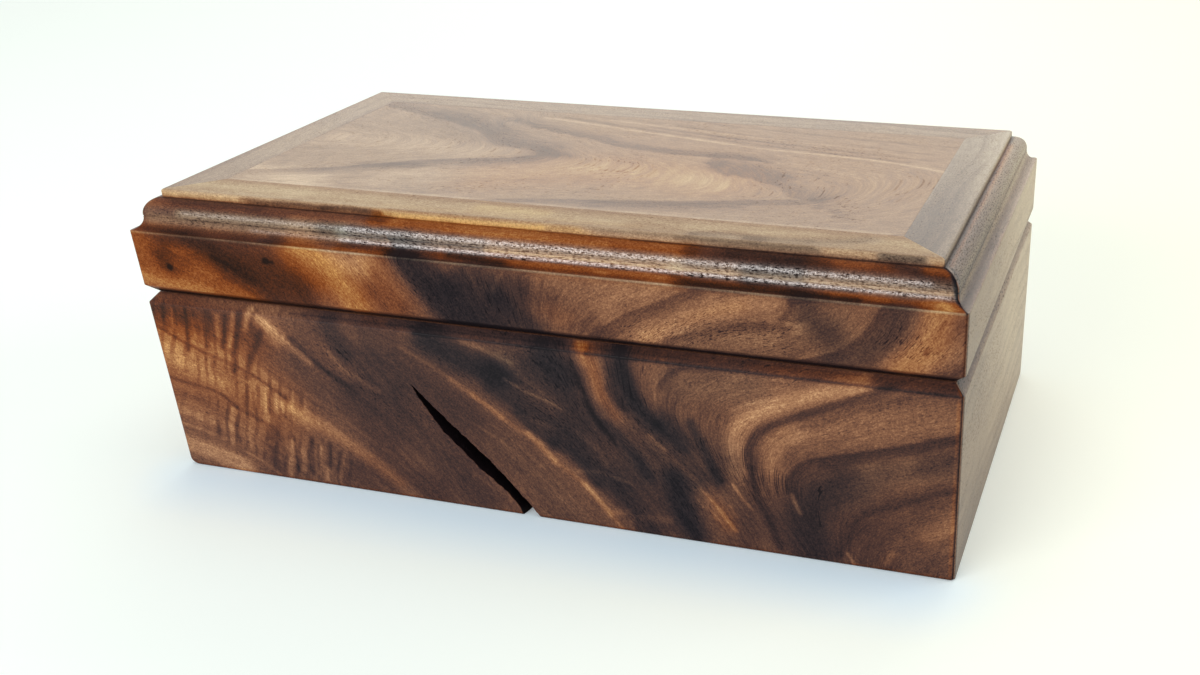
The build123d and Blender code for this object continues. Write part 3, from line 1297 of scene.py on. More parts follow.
@dataclass
class MitredBoard:
    """One board of the body or the lid, swept, cut, painted and put in its place."""

    node: str
    side: Side
    sizes: BoxSizes
    section: list[Corner]
    height: float
    base: float
    material: Material
    body: str
    figure: Figure
    fine: float
    cutters: list[Mesh]
    worn: Point
    coarse: float = 8.0
    corner_radius: float = 1.3
    corner_steps: int = 4
    # Painted shade in the split: how dark its walls are painted at the mouth, how much more deep in, and over
    # what depth in millimetres.
    split_painted_shade: float = 0.38
    deeper_painted_shade: float = 0.4
    painted_shade_depth: float = 4.0

    @property
    def length(self) -> float:
        """Length of the board's outer face."""
        return self.sizes.width if self.side in (Side.FRONT, Side.BACK) else self.sizes.depth

    def _step(self, a: Point, b: Point) -> float:
        """Longest cut allowed on a run of the section: short outside, long inside."""
        outside = min(a[0], b[0]) < self.sizes.wall - 0.5 and max(a[1], b[1]) > 0.5
        return self.fine if outside else self.coarse

    def build(self, sweep: SweepTree) -> Piece:
        """Builds the board.

        Args:
            sweep: the tree that draws a board from its section.

        Returns:
            The finished piece, riding on its body.
        """
        outline = divided(rounded(self.section), self._step)
        edges = [(k, (k + 1) % len(outline)) for k in range(len(outline))]
        section = mesh_from(self.node, [(0, u, v) for u, v in outline], [], edges)
        inputs = {
            "Length": self.length,
            "Corner Radius": self.corner_radius,
            "Corner Fade": self.sizes.wall * 0.6,
            "Stations": int(self.length / self.fine) + 2 * self.corner_steps + 1,
            "Corner Steps": self.corner_steps,
            "Finish": self.material,
        }
        mesh = sweep.run(self.node, section, inputs)
        tidy_mesh(mesh)
        if self.cutters:
            mesh = cut_away(mesh, self.cutters)
            tidy_mesh(mesh, CUT_MERGE)
        self._paint(mesh)
        self._wear(mesh)
        place_mesh(mesh, self.side, self.sizes, self.base)
        slot = f"walnut_{self.body}"
        return finished(f"{self.node}_wood", mesh, self.material, slot, self.body, self.node)

    def _wear(self, mesh: Mesh) -> None:
        """Rounds the foot at both ends; worn alike, neighbouring boards still meet at the mitre.

        Args:
            mesh: the board's mesh.
        """
        for vertex in mesh.vertices:
            radius = self.worn[0] if vertex.co.x < 0 else self.worn[1]
            reach = math.hypot(self.length / 2 - abs(vertex.co.x), vertex.co.y)
            if reach < radius and vertex.co.z < 2 * radius:
                lift = radius - math.sqrt(radius**2 - (radius - reach) ** 2)
                vertex.co.z += lift * (1 - vertex.co.z / (2 * radius))

    def _paint(self, mesh: Mesh) -> None:
        """Works out where each face corner lies round the section, and paints the figure there.

        Args:
            mesh: the board's mesh.
        """
        at, normal, middle = corner_arrays(mesh)
        along, inward, up = at.T
        sideways, deep = np.abs(normal[:, 0]), middle[:, 1]
        half, wall, chamfer = self.length / 2, self.sizes.wall, self.sizes.seam_chamfer
        run = self.base + up
        if self.base > 0:
            run = run + np.where(up > self.sizes.band_top - 0.3, inward, 0.0)
        inner = (deep > wall - 0.75) & (normal[:, 1] > 0.5)
        under = (normal[:, 2] < -0.8) & (deep > chamfer - 0.4)
        rim = (normal[:, 2] > 0.8) & (self.base == 0)
        ends = (sideways > 0.5) & (np.abs(middle[:, 0]) > half - wall - 0.5)
        run = np.where(inner, self.base + 2 * self.height + wall - up, run)
        run = np.where(under, self.base - inward, run)
        run = np.where(rim, self.height + inward, run)
        run = np.where(ends, self.base + up, run)
        straight = inner | under | ends | (rim & (deep > chamfer))

        # Painted shade: the walls of the split are painted darker, and darker still with depth.
        torn = (deep > 0.3) & (deep < wall - 1) & (np.abs(normal[:, 2]) < 0.95) & ~ends
        torn = torn & (up < self.height - chamfer - 1) & (self.base == 0) & (np.abs(along) < half - wall)
        painted_shade = self.split_painted_shade + self.deeper_painted_shade * np.clip(inward / self.painted_shade_depth, 0, 1)
        places = np.column_stack([along, run])
        paint_corners(mesh, self.figure, places, straight, np.where(torn, painted_shade, 0.0))


@dataclass
class FlushPanel:
    """A panel with a tongue all round, let in flush with the frame of boards about it."""

    node: str
    sizes: BoxSizes
    low: float
    tongue_low: float
    material: Material
    slot: str
    body: str
    figure: Figure
    step: float = 1.2
    arris: float = 0.05

    def build(self) -> Piece:
        """Builds the panel.

        Returns:
            The finished piece, riding on its body.
        """
        sizes = self.sizes
        half_x = sizes.width / 2 - sizes.wall
        half_y = sizes.depth / 2 - sizes.wall
        columns = int(2 * half_x / self.step)
        rows = int(2 * half_y / self.step)
        xs = np.linspace(-half_x, half_x, columns + 1)
        ys = np.linspace(-half_y, half_y, rows + 1)
        high = self.low + sizes.panel_t
        tongue_high = self.tongue_low + sizes.tongue_t
        levels = [
            (high - self.arris, 0.0), (tongue_high, 0.0), (tongue_high, sizes.tongue_l),
            (self.tongue_low, sizes.tongue_l), (self.tongue_low, 0.0), (self.low + self.arris, 0.0),
        ]
        rim = [(i, 0) for i in range(columns)] + [(columns, j) for j in range(rows)]
        rim += [(i, rows) for i in range(columns, 0, -1)] + [(0, j) for j in range(rows, 0, -1)]
        vertices = []
        faces = []

        def pushed(i: int, j: int, out: float, z: float) -> tuple[float, float, float]:
            """A point of the grid at a height, pushed out if it is on the rim."""
            out_x, out_y = out * np.sign(xs[i]) * (i in (0, columns)), out * np.sign(ys[j]) * (j in (0, rows))
            return xs[i] + out_x, ys[j] + out_y, z

        def sheet(z: float) -> list[int]:
            """Adds a grid of faces at a height and lists the vertices of its rim.

            Args:
                z: the height.

            Returns:
                Numbers of the rim's vertices.
            """
            start = len(vertices)
            for j in range(rows + 1):
                vertices.extend(pushed(i, j, -self.arris, z) for i in range(columns + 1))
            for j in range(rows):
                for a in range(start + j * (columns + 1), start + j * (columns + 1) + columns):
                    faces.append((a, a + 1, a + columns + 2, a + columns + 1))
            return [start + j * (columns + 1) + i for i, j in rim]

        loops = [sheet(high)]
        for z, out in levels:
            loops.append(list(range(len(vertices), len(vertices) + len(rim))))
            vertices.extend(pushed(i, j, out, z) for i, j in rim)
        loops.append(sheet(self.low))
        for upper, lower in zip(loops, loops[1:]):
            for k in range(len(rim)):
                faces.append((upper[k], upper[(k + 1) % len(rim)], lower[(k + 1) % len(rim)], lower[k]))
        mesh = mesh_from(self.node, vertices, faces)
        tidy_mesh(mesh, CLOSE_MERGE)
        at, normal, _ = corner_arrays(mesh)
        paint_corners(mesh, self.figure, at[:, :2].copy(), normal[:, 2] <= 0.5)
        mesh.transform(Matrix.Scale(MM, 4))
        return finished(f"{self.node}_wood", mesh, self.material, self.slot, self.body, self.node)


@dataclass
class SeasonCheck:
    """The split in the front board, torn along the grain and narrowing with depth."""

    foot_x: float = -3.4
    # From the tip along the upper lip, across the mouth and back along the lower lip.
    lips: tuple[Point, ...] = pairs((
        -41.5, 48.6, -38.1, 44.8, -31.5, 38.2, -20.6, 27.5, -13.8, 21.4, -5.1, 11.3, 3.0, 1.2, 4.6, -1.0,
        -3.1, -1.0, -4.1, 3.0, -8.6, 9.1, -19.0, 17.9, -28.4, 28.0, -31.0, 30.2, -39.4, 43.7,
    ))
    # For each depth, the share of the width that is left and how much the line wavers.
    narrowing: tuple[tuple[float, float, float], ...] = (
        (-0.5, 1.0, 0.0), (0.25, 1.0, 0.0), (1.2, 0.94, 0.10), (3.5, 0.80, 0.22), (7.0, 0.62, 0.30),
        (11.0, 0.42, 0.25), (15.0, 0.20, 0.15),
    )
    piece_length: float = 1.3
    torn: float = 0.22
    seed: int = 11

    def cutter(self) -> Mesh:
        """The space of the split as a closed mesh on the front board's plane.

        Returns:
            The mesh, in millimetres.
        """
        rng = random.Random(self.seed)
        outline = []
        for a, b in zip(self.lips, [*self.lips[1:], self.lips[0]]):
            run = Vector((b[0] - a[0], b[1] - a[1]))
            pieces = max(1, int(run.length / self.piece_length))
            for k in range(pieces):
                torn = rng.uniform(-self.torn, self.torn) if k and a[1] > -0.5 else 0.0
                side = Vector((-run.y, run.x)).normalized() * torn
                outline.append((a[0] + run.x * k / pieces + side.x, a[1] + run.y * k / pieces + side.y))
        outline = [(self.foot_x + x, z) for x, z in outline]
        tip = self.lips[0]
        axis = Vector((tip[0] - 0.8, tip[1])).normalized()
        foot = Vector((self.foot_x + 0.8, 0.0))

        def drawn_in(point: Point, share: float, wobble: float) -> Point:
            """A point drawn towards the middle line of the split, and a little torn.

            Args:
                point: a point of the outline.
                share: how much of its distance is left.
                wobble: how far it is torn.

            Returns:
                The point.
            """
            here = Vector(point)
            run = max(-2.0, min((here - foot).dot(axis), 62.0))
            middle = foot + axis * run
            drawn = middle + (here - middle) * share
            tear = wobble * math.sin(run * 1.7 + share * 20)
            return drawn.x + tear * axis.y, drawn.y - tear * axis.x

        rings = []
        for depth, share, wobble in self.narrowing:
            moved = [drawn_in(point, share, wobble) for point in outline]
            rings.append([(x, depth, z) for x, z in moved])
        return loft(rings)


# Figures of the single boards, drawn in millimetres: along the board and up from the base.

BODY_LINES = grain_lines(
    (-14, -149, 2, -130, -4), (0, -149, 15, -135, 12, -123, 9, -107, 2, -96, -6),
    (21, -149, 37, -133, 35, -119, 29, -109, 22, -96, 12, -80, 0),
    (37, -149, 59, -137, 53, -127, 50, -111, 43, -98, 35, -75, 21, -57, 9, -48, 0),
    (50, -148, 76, -130, 68, -112, 58, -95, 46, -77, 34, -58, 20, -40, 2),
    (60, -108, 72, -94, 60, -85, 53, -73, 46, -60, 36, -44, 22, -26, 0),
    (75, -74, 75, -58, 60, -42, 45, -24, 28, -9, 11, 0, 0),
    (94, -66, 73, -53, 66, -38, 60, -18, 46, 0, 33, 18, 17, 32, 3),
    (110, -40, 76, -20, 66, -4, 57, 14, 46, 28, 31, 42, 14, 52, 0),
    (119, 12, 76, 19, 65, 23, 52, 26, 43, 36, 32, 50, 14, 60, 0),
    (130, 24, 78, 29, 66, 31, 54, 36, 46, 45, 39, 57, 27, 66, 18, 76, 2),
    (140, 84, 76, 68, 68, 58, 65, 51, 60, 49, 53, 52, 44, 60, 36, 72, 22, 83, 6),
    (152, 122, 73, 106, 67, 94, 61, 75, 55, 69, 47, 69, 38, 75, 25, 81, 15, 90, 2),
    (163, 142, 75, 124, 68, 109, 60, 95, 54, 85, 48, 80, 39, 81, 29, 86, 17, 97, 2),
    (178, 149, 56, 136, 50, 121, 45, 108, 41, 98, 37, 94, 30, 95, 22, 100, 12, 106, 2),
    (196, 149, 34, 138, 29, 127, 23, 119, 18, 115, 11, 113, 2), (212, 149, 14, 140, 9, 132, 2),
)

LID_LINES = grain_lines(
    (28, -149, 84, -136, 79, -124, 74), (46, -146, 97, -129, 92, -115, 85, -103, 79, -95, 73),
    (68, -102, 97, -94, 93, -85, 89, -77, 83, -73, 75), (95, -47, 96, -42, 88, -34, 80, -27, 73),
    (118, -14, 96, -12, 88, -8, 80, -4, 73), (150, 64, 96, 47, 87, 36, 81, 26, 74),
    (170, 100, 94, 88, 87, 72, 83, 57, 76), (188, 125, 96, 119, 86, 110, 79, 98, 75),
    (200, 137, 96, 133, 87, 127, 79, 118, 74), (212, 149, 90, 140, 80, 132, 73),
)

BODY_STREAKS = strokes(
    # Curly left end
    Stain.GLOW, (0.4, 18, -152, 46, -124, 42, -104, 32), (0.2, 9, -122, 62, -100, 60),
    (0.2, 3, -98, 32, -76, 20, -56, 6),
    Stain.CURL, (1, (13, 17), -152, 62, -128, 50, -110, 38),
    (0.9, 10, -126, 20, -114, 16, -100, 10, -84, 8), (0.35, 9, -150, 24, -132, 20),
    (0.6, 6, -104, 34, -90, 30),
    Stain.LIGHT, (0.52, 11, -153, 54, -130, 48, -112, 41), (0.7, 8, -152, 28, -130, 23, -116, 16),
    (1.05, 5, -153, 10, -138, 7, -124, 2), (0.35, 1, -151, 24, -138, 22, -126, 19),
    (0.5, 0.7, -146, 10.5, -134, 8.4, -122, 5), (0.6, 5, -152, 48, -140, 45, -126, 40),
    (0.9, (1.8, 2), -106, 69, -98, 63, -91, 57, -85, 52), (0.6, 2.6, -105, 67, -100, 64),
    (0.6, (2.2, 2.8), -101, 33, -92, 30, -83, 25, -74, 19, -65, 13, -57, 7, -50, 1),
    (0.55, (2.5, 3), -100, 31, -92, 27), (0.6, 0.8, -122, 9, -114, 5, -109, 1.5),
    (0.45, 0.8, -149, 18, -139, 16, -130, 13.5), (0.75, 1.2, -124, 27, -126, 20, -127.5, 12),
    (0.6, 1.3, -117, 24, -119, 18, -120, 12), (0.8, 1.2, -106, 38, -108, 30, -110, 22),
    (0.7, 1.1, -120.5, 66, -122.5, 58), (0.9, 1, -113.5, 67, -116, 59, -118, 54),
    (1, 1.4, -107, 67.5, -109.5, 62), (0.7, (3.4, 3), -101, 65, -97, 59), (0.6, 0.9, -112, 46, -114, 40),
    (0.6, 1, -140, 66, -141, 59), (0.5, 1.2, -131, 63, -133, 54), (0.6, 0.8, -95.2, 38, -97, 31),
    (0.5, 0.8, -106, 15, -107.5, 6), (0.6, 1, -102.5, 36, -103.5, 29),
    (0.8, 1.9, -100.5, 16, -103, 8, -104.5, 2), (0.45, 1.2, -96, 14, -97.5, 5),
    (0.75, 1, -87.5, 16, -89, 10, -91, 4.5), (0.75, 1.4, -86.5, 6.5, -88, 2.5),
    (0.5, 0.9, -78.5, 14, -82, 4), (0.3, 0.9, -89.5, 38, -91, 33),
    Stain.SHADE, (0.9, 0.8, -134, 67, -135.5, 58, -137, 50), (0.35, 1, -137, 52, -139.5, 42),
    (0.65, 0.9, -144, 67, -145, 57), (0.6, 0.8, -150, 66, -150, 58), (0.7, 0.7, -98.5, 36, -100.5, 27),
    (0.6, 0.6, -112.5, 36, -114, 28), (0.8, 0.7, -98.8, 19, -100, 4), (0.6, 0.6, -88.8, 17, -91.5, 3),
    (0.5, 0.6, -80.5, 15, -82.5, 6), (0.5, 0.7, -123, 24, -124, 13),
    (0.8, (1.8, 1.3), -124.5, 66, -126, 60, -128, 53), (1.1, 0.9, -117, 66, -119, 60, -121.5, 53),
    (1, 1.3, -110.5, 67.5, -113.5, 60, -117, 52, -119, 44), (0.8, 0.9, -104, 69, -107.5, 63),
    (1, 1.3, -103, 62, -107, 55, -111, 48, -113.5, 42), (0.45, 0.9, -130, 66, -131, 58),
    (0.45, 1, -127, 48, -128.5, 42), (0.55, 1, -115, 38, -117, 30), (0.55, 0.9, -104.5, 38, -107, 28),
    (0.75, (1, 0.6), -151, 59.5, -144, 56, -137, 52.5, -130, 49.5),
    (0.45, (0.8, 0.6), -130, 49.5, -119, 46.5, -111, 43), (0.7, (1, 0.6), -111, 43, -104, 39, -99, 35),
    (0.55, 0.8, -151, 38, -140, 36, -133, 35, -127, 33, -122, 28.5),
    (0.6, (1.2, 0.8), -122, 28.5, -114, 24.5, -108, 22), (0.5, 3.5, -150, 31, -138, 29, -128, 26),
    (0.45, 2, -131, 21, -133, 16), (0.65, 3.6, -108, 19, -109, 12, -109, 5),
    (0.4, 8, -122, 19, -112, 10, -104, 4), (0.6, 8, -76, 8, -60, 8, -42, 5),
    (0.5, 8, -152, 66, -128, 64, -108, 62), (0.4, 5, -134, 45, -118, 42), (0.4, 6, -150, 65, -136, 63),
    (0.75, 1.1, -91, 19, -93, 10, -94, 4), (0.65, 1.2, -83.5, 18, -85.5, 9),
    (0.95, (1.4, 1.3), -91, 60, -84, 53, -76, 47, -68, 42.5), (0.2, 9, -96, 52, -88, 40),
    (0.4, 14, -82, 56, -70, 46, -58, 34),
    # From the curl to the split
    Stain.INK, (0.6, 5, -74, 67, -70, 58), (0.35, 8, -60, 54, -52, 46),
    Stain.LIGHT, (0.5, 1.3, -77, 58, -72, 51, -65, 47, -59, 43.5), (0.25, 3.5, -63, 63.5, -54, 62),
    (0.25, 0.8, -60, 30, -52, 18),
    Stain.SHADE, (0.6, 9, -68, 40, -58, 24), (0.45, 8, -48, 38, -34, 20, -22, 6),
    (0.5, 0.8, -36, 22, -28, 10), (0.62, 9, -58, 64, -46, 54, -34, 44, -26, 38),
    (0.25, 9, -22, 38, 0, 20, 10, 6),
    Stain.PLUM, (0.45, 11, -66, 42, -44, 26, -26, 6), (0.15, 8, -92, 50, -82, 38),
    (0.45, (10, 8), -58, 64, -44, 54, -30, 42), (0.35, 9, -20, 34, 0, 18, 12, 4),
    # The plain band and its orange edge
    Stain.LIGHT, (0.12, 6, -24, 38, -10, 27, 8, 12, 18, 0), (0.35, 0.7, -24, 15, -17, 9),
    (0.2, 0.8, -40, 28, -30, 14), (0.3, 0.6, -28, 38, -12, 30, 2, 18, 14, 4),
    (0.3, 0.6, -14, 36, 0, 25, 12, 12, 20, 3),
    Stain.TAN, (0.3, (1, 1.2), -46, 62, -34, 55.8, -28, 52),
    (0.6, (1.1, 1.5), -28, 52, -24, 49.4, -20, 46.8), (0.9, (1.1, 1.4), -20, 46.8, -15, 43.2, -10, 39.5),
    (0.5, (1, 1.3), -10, 39.5, -4, 35.5, 0, 34), (1, (1.3, 1.6), 0, 34.3, 4, 30, 8.5, 25),
    (0.6, (1, 1.3), 8.5, 25, 14, 21, 19, 17), (1.1, (1.1, 1.4), 19.5, 16.8, 23.5, 12, 28, 6.5),
    (0.7, (1.1, 1.4), 28, 6.5, 32, 1), (0.45, 1.5, 30, 7, 35, 8, 36, 4), (0.45, 1.8, 40, 6.5, 50, 7.5),
    # Blue-black heart and the wedge in it
    Stain.INK, (1.05, (7, 6), -36, 66, -24, 60, -10, 56), (0.45, 10, 0, 60, 12, 66),
    (0.34, (6, 5), 34, 58, 42, 48, 50, 42), (0.42, (7, 6), 44, 44, 54, 34, 60, 26),
    (0.08, 12, 30, 26, 46, 30, 56, 16), (0.78, (7, 4.5), -12, 51, 4, 41, 16, 32, 27, 21, 36, 11, 42, 2),
    (0.5, 8, 10, 62, 20, 48, 34, 34, 46, 20, 54, 8), (0.55, 2.2, -4, 43, 2, 36, 10, 33),
    (0.6, (3, 2), 8, 31, 16, 28, 24, 18), (0.5, (2, 3.5), 30, 42, 38, 34, 44, 24),
    (0.8, 3, 36, 70, 38, 60, 42, 50, 48, 44), (0.95, 5, 53, 24, 56, 12, 60, 3),
    (0.6, 2, 60, 47, 64, 38, 69, 26), (0.55, (5, 3), 50, 46, 56, 38), (0.45, 9, -6, 60, 8, 54, 20, 42),
    (0.12, (6, 5), 14, 40, 22, 30, 30, 18), (0.7, 5, 8, 67, 16, 58), (0.6, 5, 35, 64, 38, 52),
    Stain.LIGHT, (0.6, 1.1, -22, 67, -13, 64.5, -4, 61), (0.6, 3.5, -7, 64, -4, 61),
    (0.8, 0.7, -7, 54.5, 0, 51, 6, 49, 13, 46), (0.34, 3.2, 25, 70, 27, 60, 29, 52, 34, 45),
    (0.25, 4.5, 47, 66, 49, 57), (0.5, 0.8, 17, 22, 26, 22.5, 37, 20), (0.35, 1, 2, 40, 10, 38),
    (0.4, 1.4, 18, 38, 24, 33, 28, 26), (0.3, 1.2, -2, 57, 6, 52, 10, 44),
    Stain.TAN, (0.6, 1.8, 21.5, 70, 23, 65), (0.25, 2.6, 27, 64, 28, 52),
    (0.75, (1, 1.3), 45, 40, 50, 35.5), (0.55, (1, 1.3), 50, 35.5, 56, 29.5, 61, 25),
    Stain.RUST, (0.4, 3.6, 24, 68, 27, 60, 29, 52, 33, 46), (0.35, 4, 66, 20, 72, 10),
    Stain.SHADE, (0.7, (0.7, 2), 19, 64, 22, 55, 25, 46, 32, 36), (0.5, 1.6, 31, 56, 36, 49),
    # Hooked grain of the right end
    Stain.SHADE, (0.6, (0.5, 2), 49, 59, 54, 65, 60, 67.5, 68, 68),
    (0.75, (2.6, 0.7), 126, 69, 115, 63.5, 105, 59, 95, 54, 87, 50, 82, 46, 79.5, 40, 80, 33),
    (0.9, (1.6, 1.2), 80, 33, 81, 27, 83, 20, 87, 12, 90, 3),
    (0.9, (3.2, 0.5), 151, 55.5, 136, 50, 121, 45, 108, 41, 99, 38, 94, 32, 93.5, 25),
    (0.7, 8, 113, 33, 104, 24, 100, 14, 102, 2), (0.3, 5, 147, 45, 128, 38),
    (0.7, (0.6, 3), 151, 35, 141, 31, 132, 26.5, 125, 23, 118, 19, 115, 13, 112, 4),
    (0.35, 3, 130, 3, 118, 3), (0.45, 7, 82, 17, 78, 4), (0.45, 9, 96, 24, 108, 12, 122, 6),
    (0.34, 8, 122, 14, 136, 8, 146, 3), (0.32, 7, 120, 16, 136, 23), (0.4, 7, 80, 32, 72, 30),
    (0.35, 6, 88, 12, 90, 4), (0.3, 5, 128, 29, 146, 33),
    Stain.PLUM, (1, 9, 116, 32, 104, 24, 100, 14, 103, 2), (0.6, 6, 148, 44, 126, 38),
    (0.5, 8, 56, 60, 80, 64), (0.35, 9, 80, 14, 100, 8), (0.6, 9, 70, 34, 64, 22), (0.4, 8, 36, 22, 58, 40),
    Stain.LIGHT, (0.42, 6, 60, 61, 76, 62, 94, 66),
    (0.82, 3.6, 119, 68, 104, 63, 92, 58, 82, 53, 76, 46, 75, 38, 76, 31),
    (0.45, 1, 74, 53.5, 80, 56.5, 90, 59.5), (0.5, 4, 95, 48, 89, 42, 87, 33),
    (0.5, 5, 149, 61, 130, 56, 112, 51, 98, 47), (0.35, 6, 132, 40, 118, 34), (0.12, 5, 150, 12, 132, 10),
    (0.3, 3, 147, 38, 132, 33), (0.3, 4, 149, 23, 141, 18), (0.6, 1.4, 129, 7, 127, 4),
    (1.2, 0.8, 94.5, 24.5, 96, 21, 97.5, 18), (1, 0.6, 113.5, 5, 116, 1), (0.3, 3, 78, 34, 75, 26),
    (0.25, 3, 82, 14, 86, 3), (0.12, 4, 67, 17, 73, 8),
    Stain.TAN, (0.28, 3, 117, 67.5, 104, 63, 92, 58, 82, 53, 76, 46, 75, 38),
    (0.2, 4, 92, 48, 88, 40, 88, 33), (0.22, (3, 4), 148, 20, 140, 14), (0.9, 0.6, 74, 25.5, 77, 21),
    (0.7, 0.6, 77.5, 20.2, 80.5, 16.6), (0.8, 0.8, 62.5, 22, 66, 18), (0.9, 0.8, 66.5, 17.5, 70, 13.2),
    (1, 0.8, 70.5, 12.2, 74.5, 7.2), (0.6, 0.6, 64.5, 15, 67.5, 10.5), (0.5, 0.6, 60.5, 18.5, 63, 15),
    (0.6, 0.5, 72.5, 17, 75.5, 12.5), (0.18, 4, 64, 19, 73, 7), (0.3, 2, 129, 7, 126, 3),
    Stain.PORES, (1.5, 2.5, 64, 40, 70, 28), (1.5, 4.5, 76, 33, 83, 25, 88, 28),
    (0.35, 2, 103, 32, 104, 28),
    # Chamfer, rim and edges: painted shade darkens the rim in the seam under the lid and the foot of the
    # board, the chamfer gets its colour and dark lines along its arrises, and dark lines run up both ends
    Stain.INK, (0.35, 1.6, -50, 70.2, 14, 70.2), (1.5, 0.8, 150.3, -2, 150.3, 72),
    (0.7, 0.5, -150.3, 4, -150.3, 72),
    Stain.SHADE, (0.45, 1.6, -84, 70, 18, 70), (0.75, 1.6, 26, 70, 96, 70), (0.4, 1.6, 96, 70, 122, 70),
    (1, 0.5, -40, 67.8, 24, 67.8), (1.4, 0.5, 24, 67.8, 149, 67.8), (0.65, 1.6, 122, 70, 150, 70),
    (2, 0.9, -152, 72.2, 152, 72.2), (0.6, 0.3, -90, 69.4, 60, 69.5), (0.45, 0.3, -40, 70.4, 146, 70.3),
    (1.3, 0.9, -152, -0.2, 152, -0.2), (2.1, 0.9, 150, -2, 150, 72), (0.3, 1, -60, 69, 150, 69),
    (0.8, 0.8, -150, -2, -150, 72),
    Stain.GLOW, (0.45, 1.4, 20, 70, 24, 69.5), (0.15, 1.2, 80, 69.2, 118, 69.4),
    (0.45, 0.6, 148.4, 2, 148.4, 66), (0.7, 0.4, 147.6, 70.4, 149.2, 67.6),
    Stain.LIGHT, (0.25, 1.6, -150, 70, -96, 70),
    Stain.RUST, (0.55, 9, -154, 62, -136, 62), (0.3, 11, -138, 60, -112, 58),
    (0.25, 26, -150, 40, -124, 34), (0.4, 1.7, -60, 69.6, 152, 69.6), (0.7, 0.6, -152, 0.6, 152, 0.6),
)

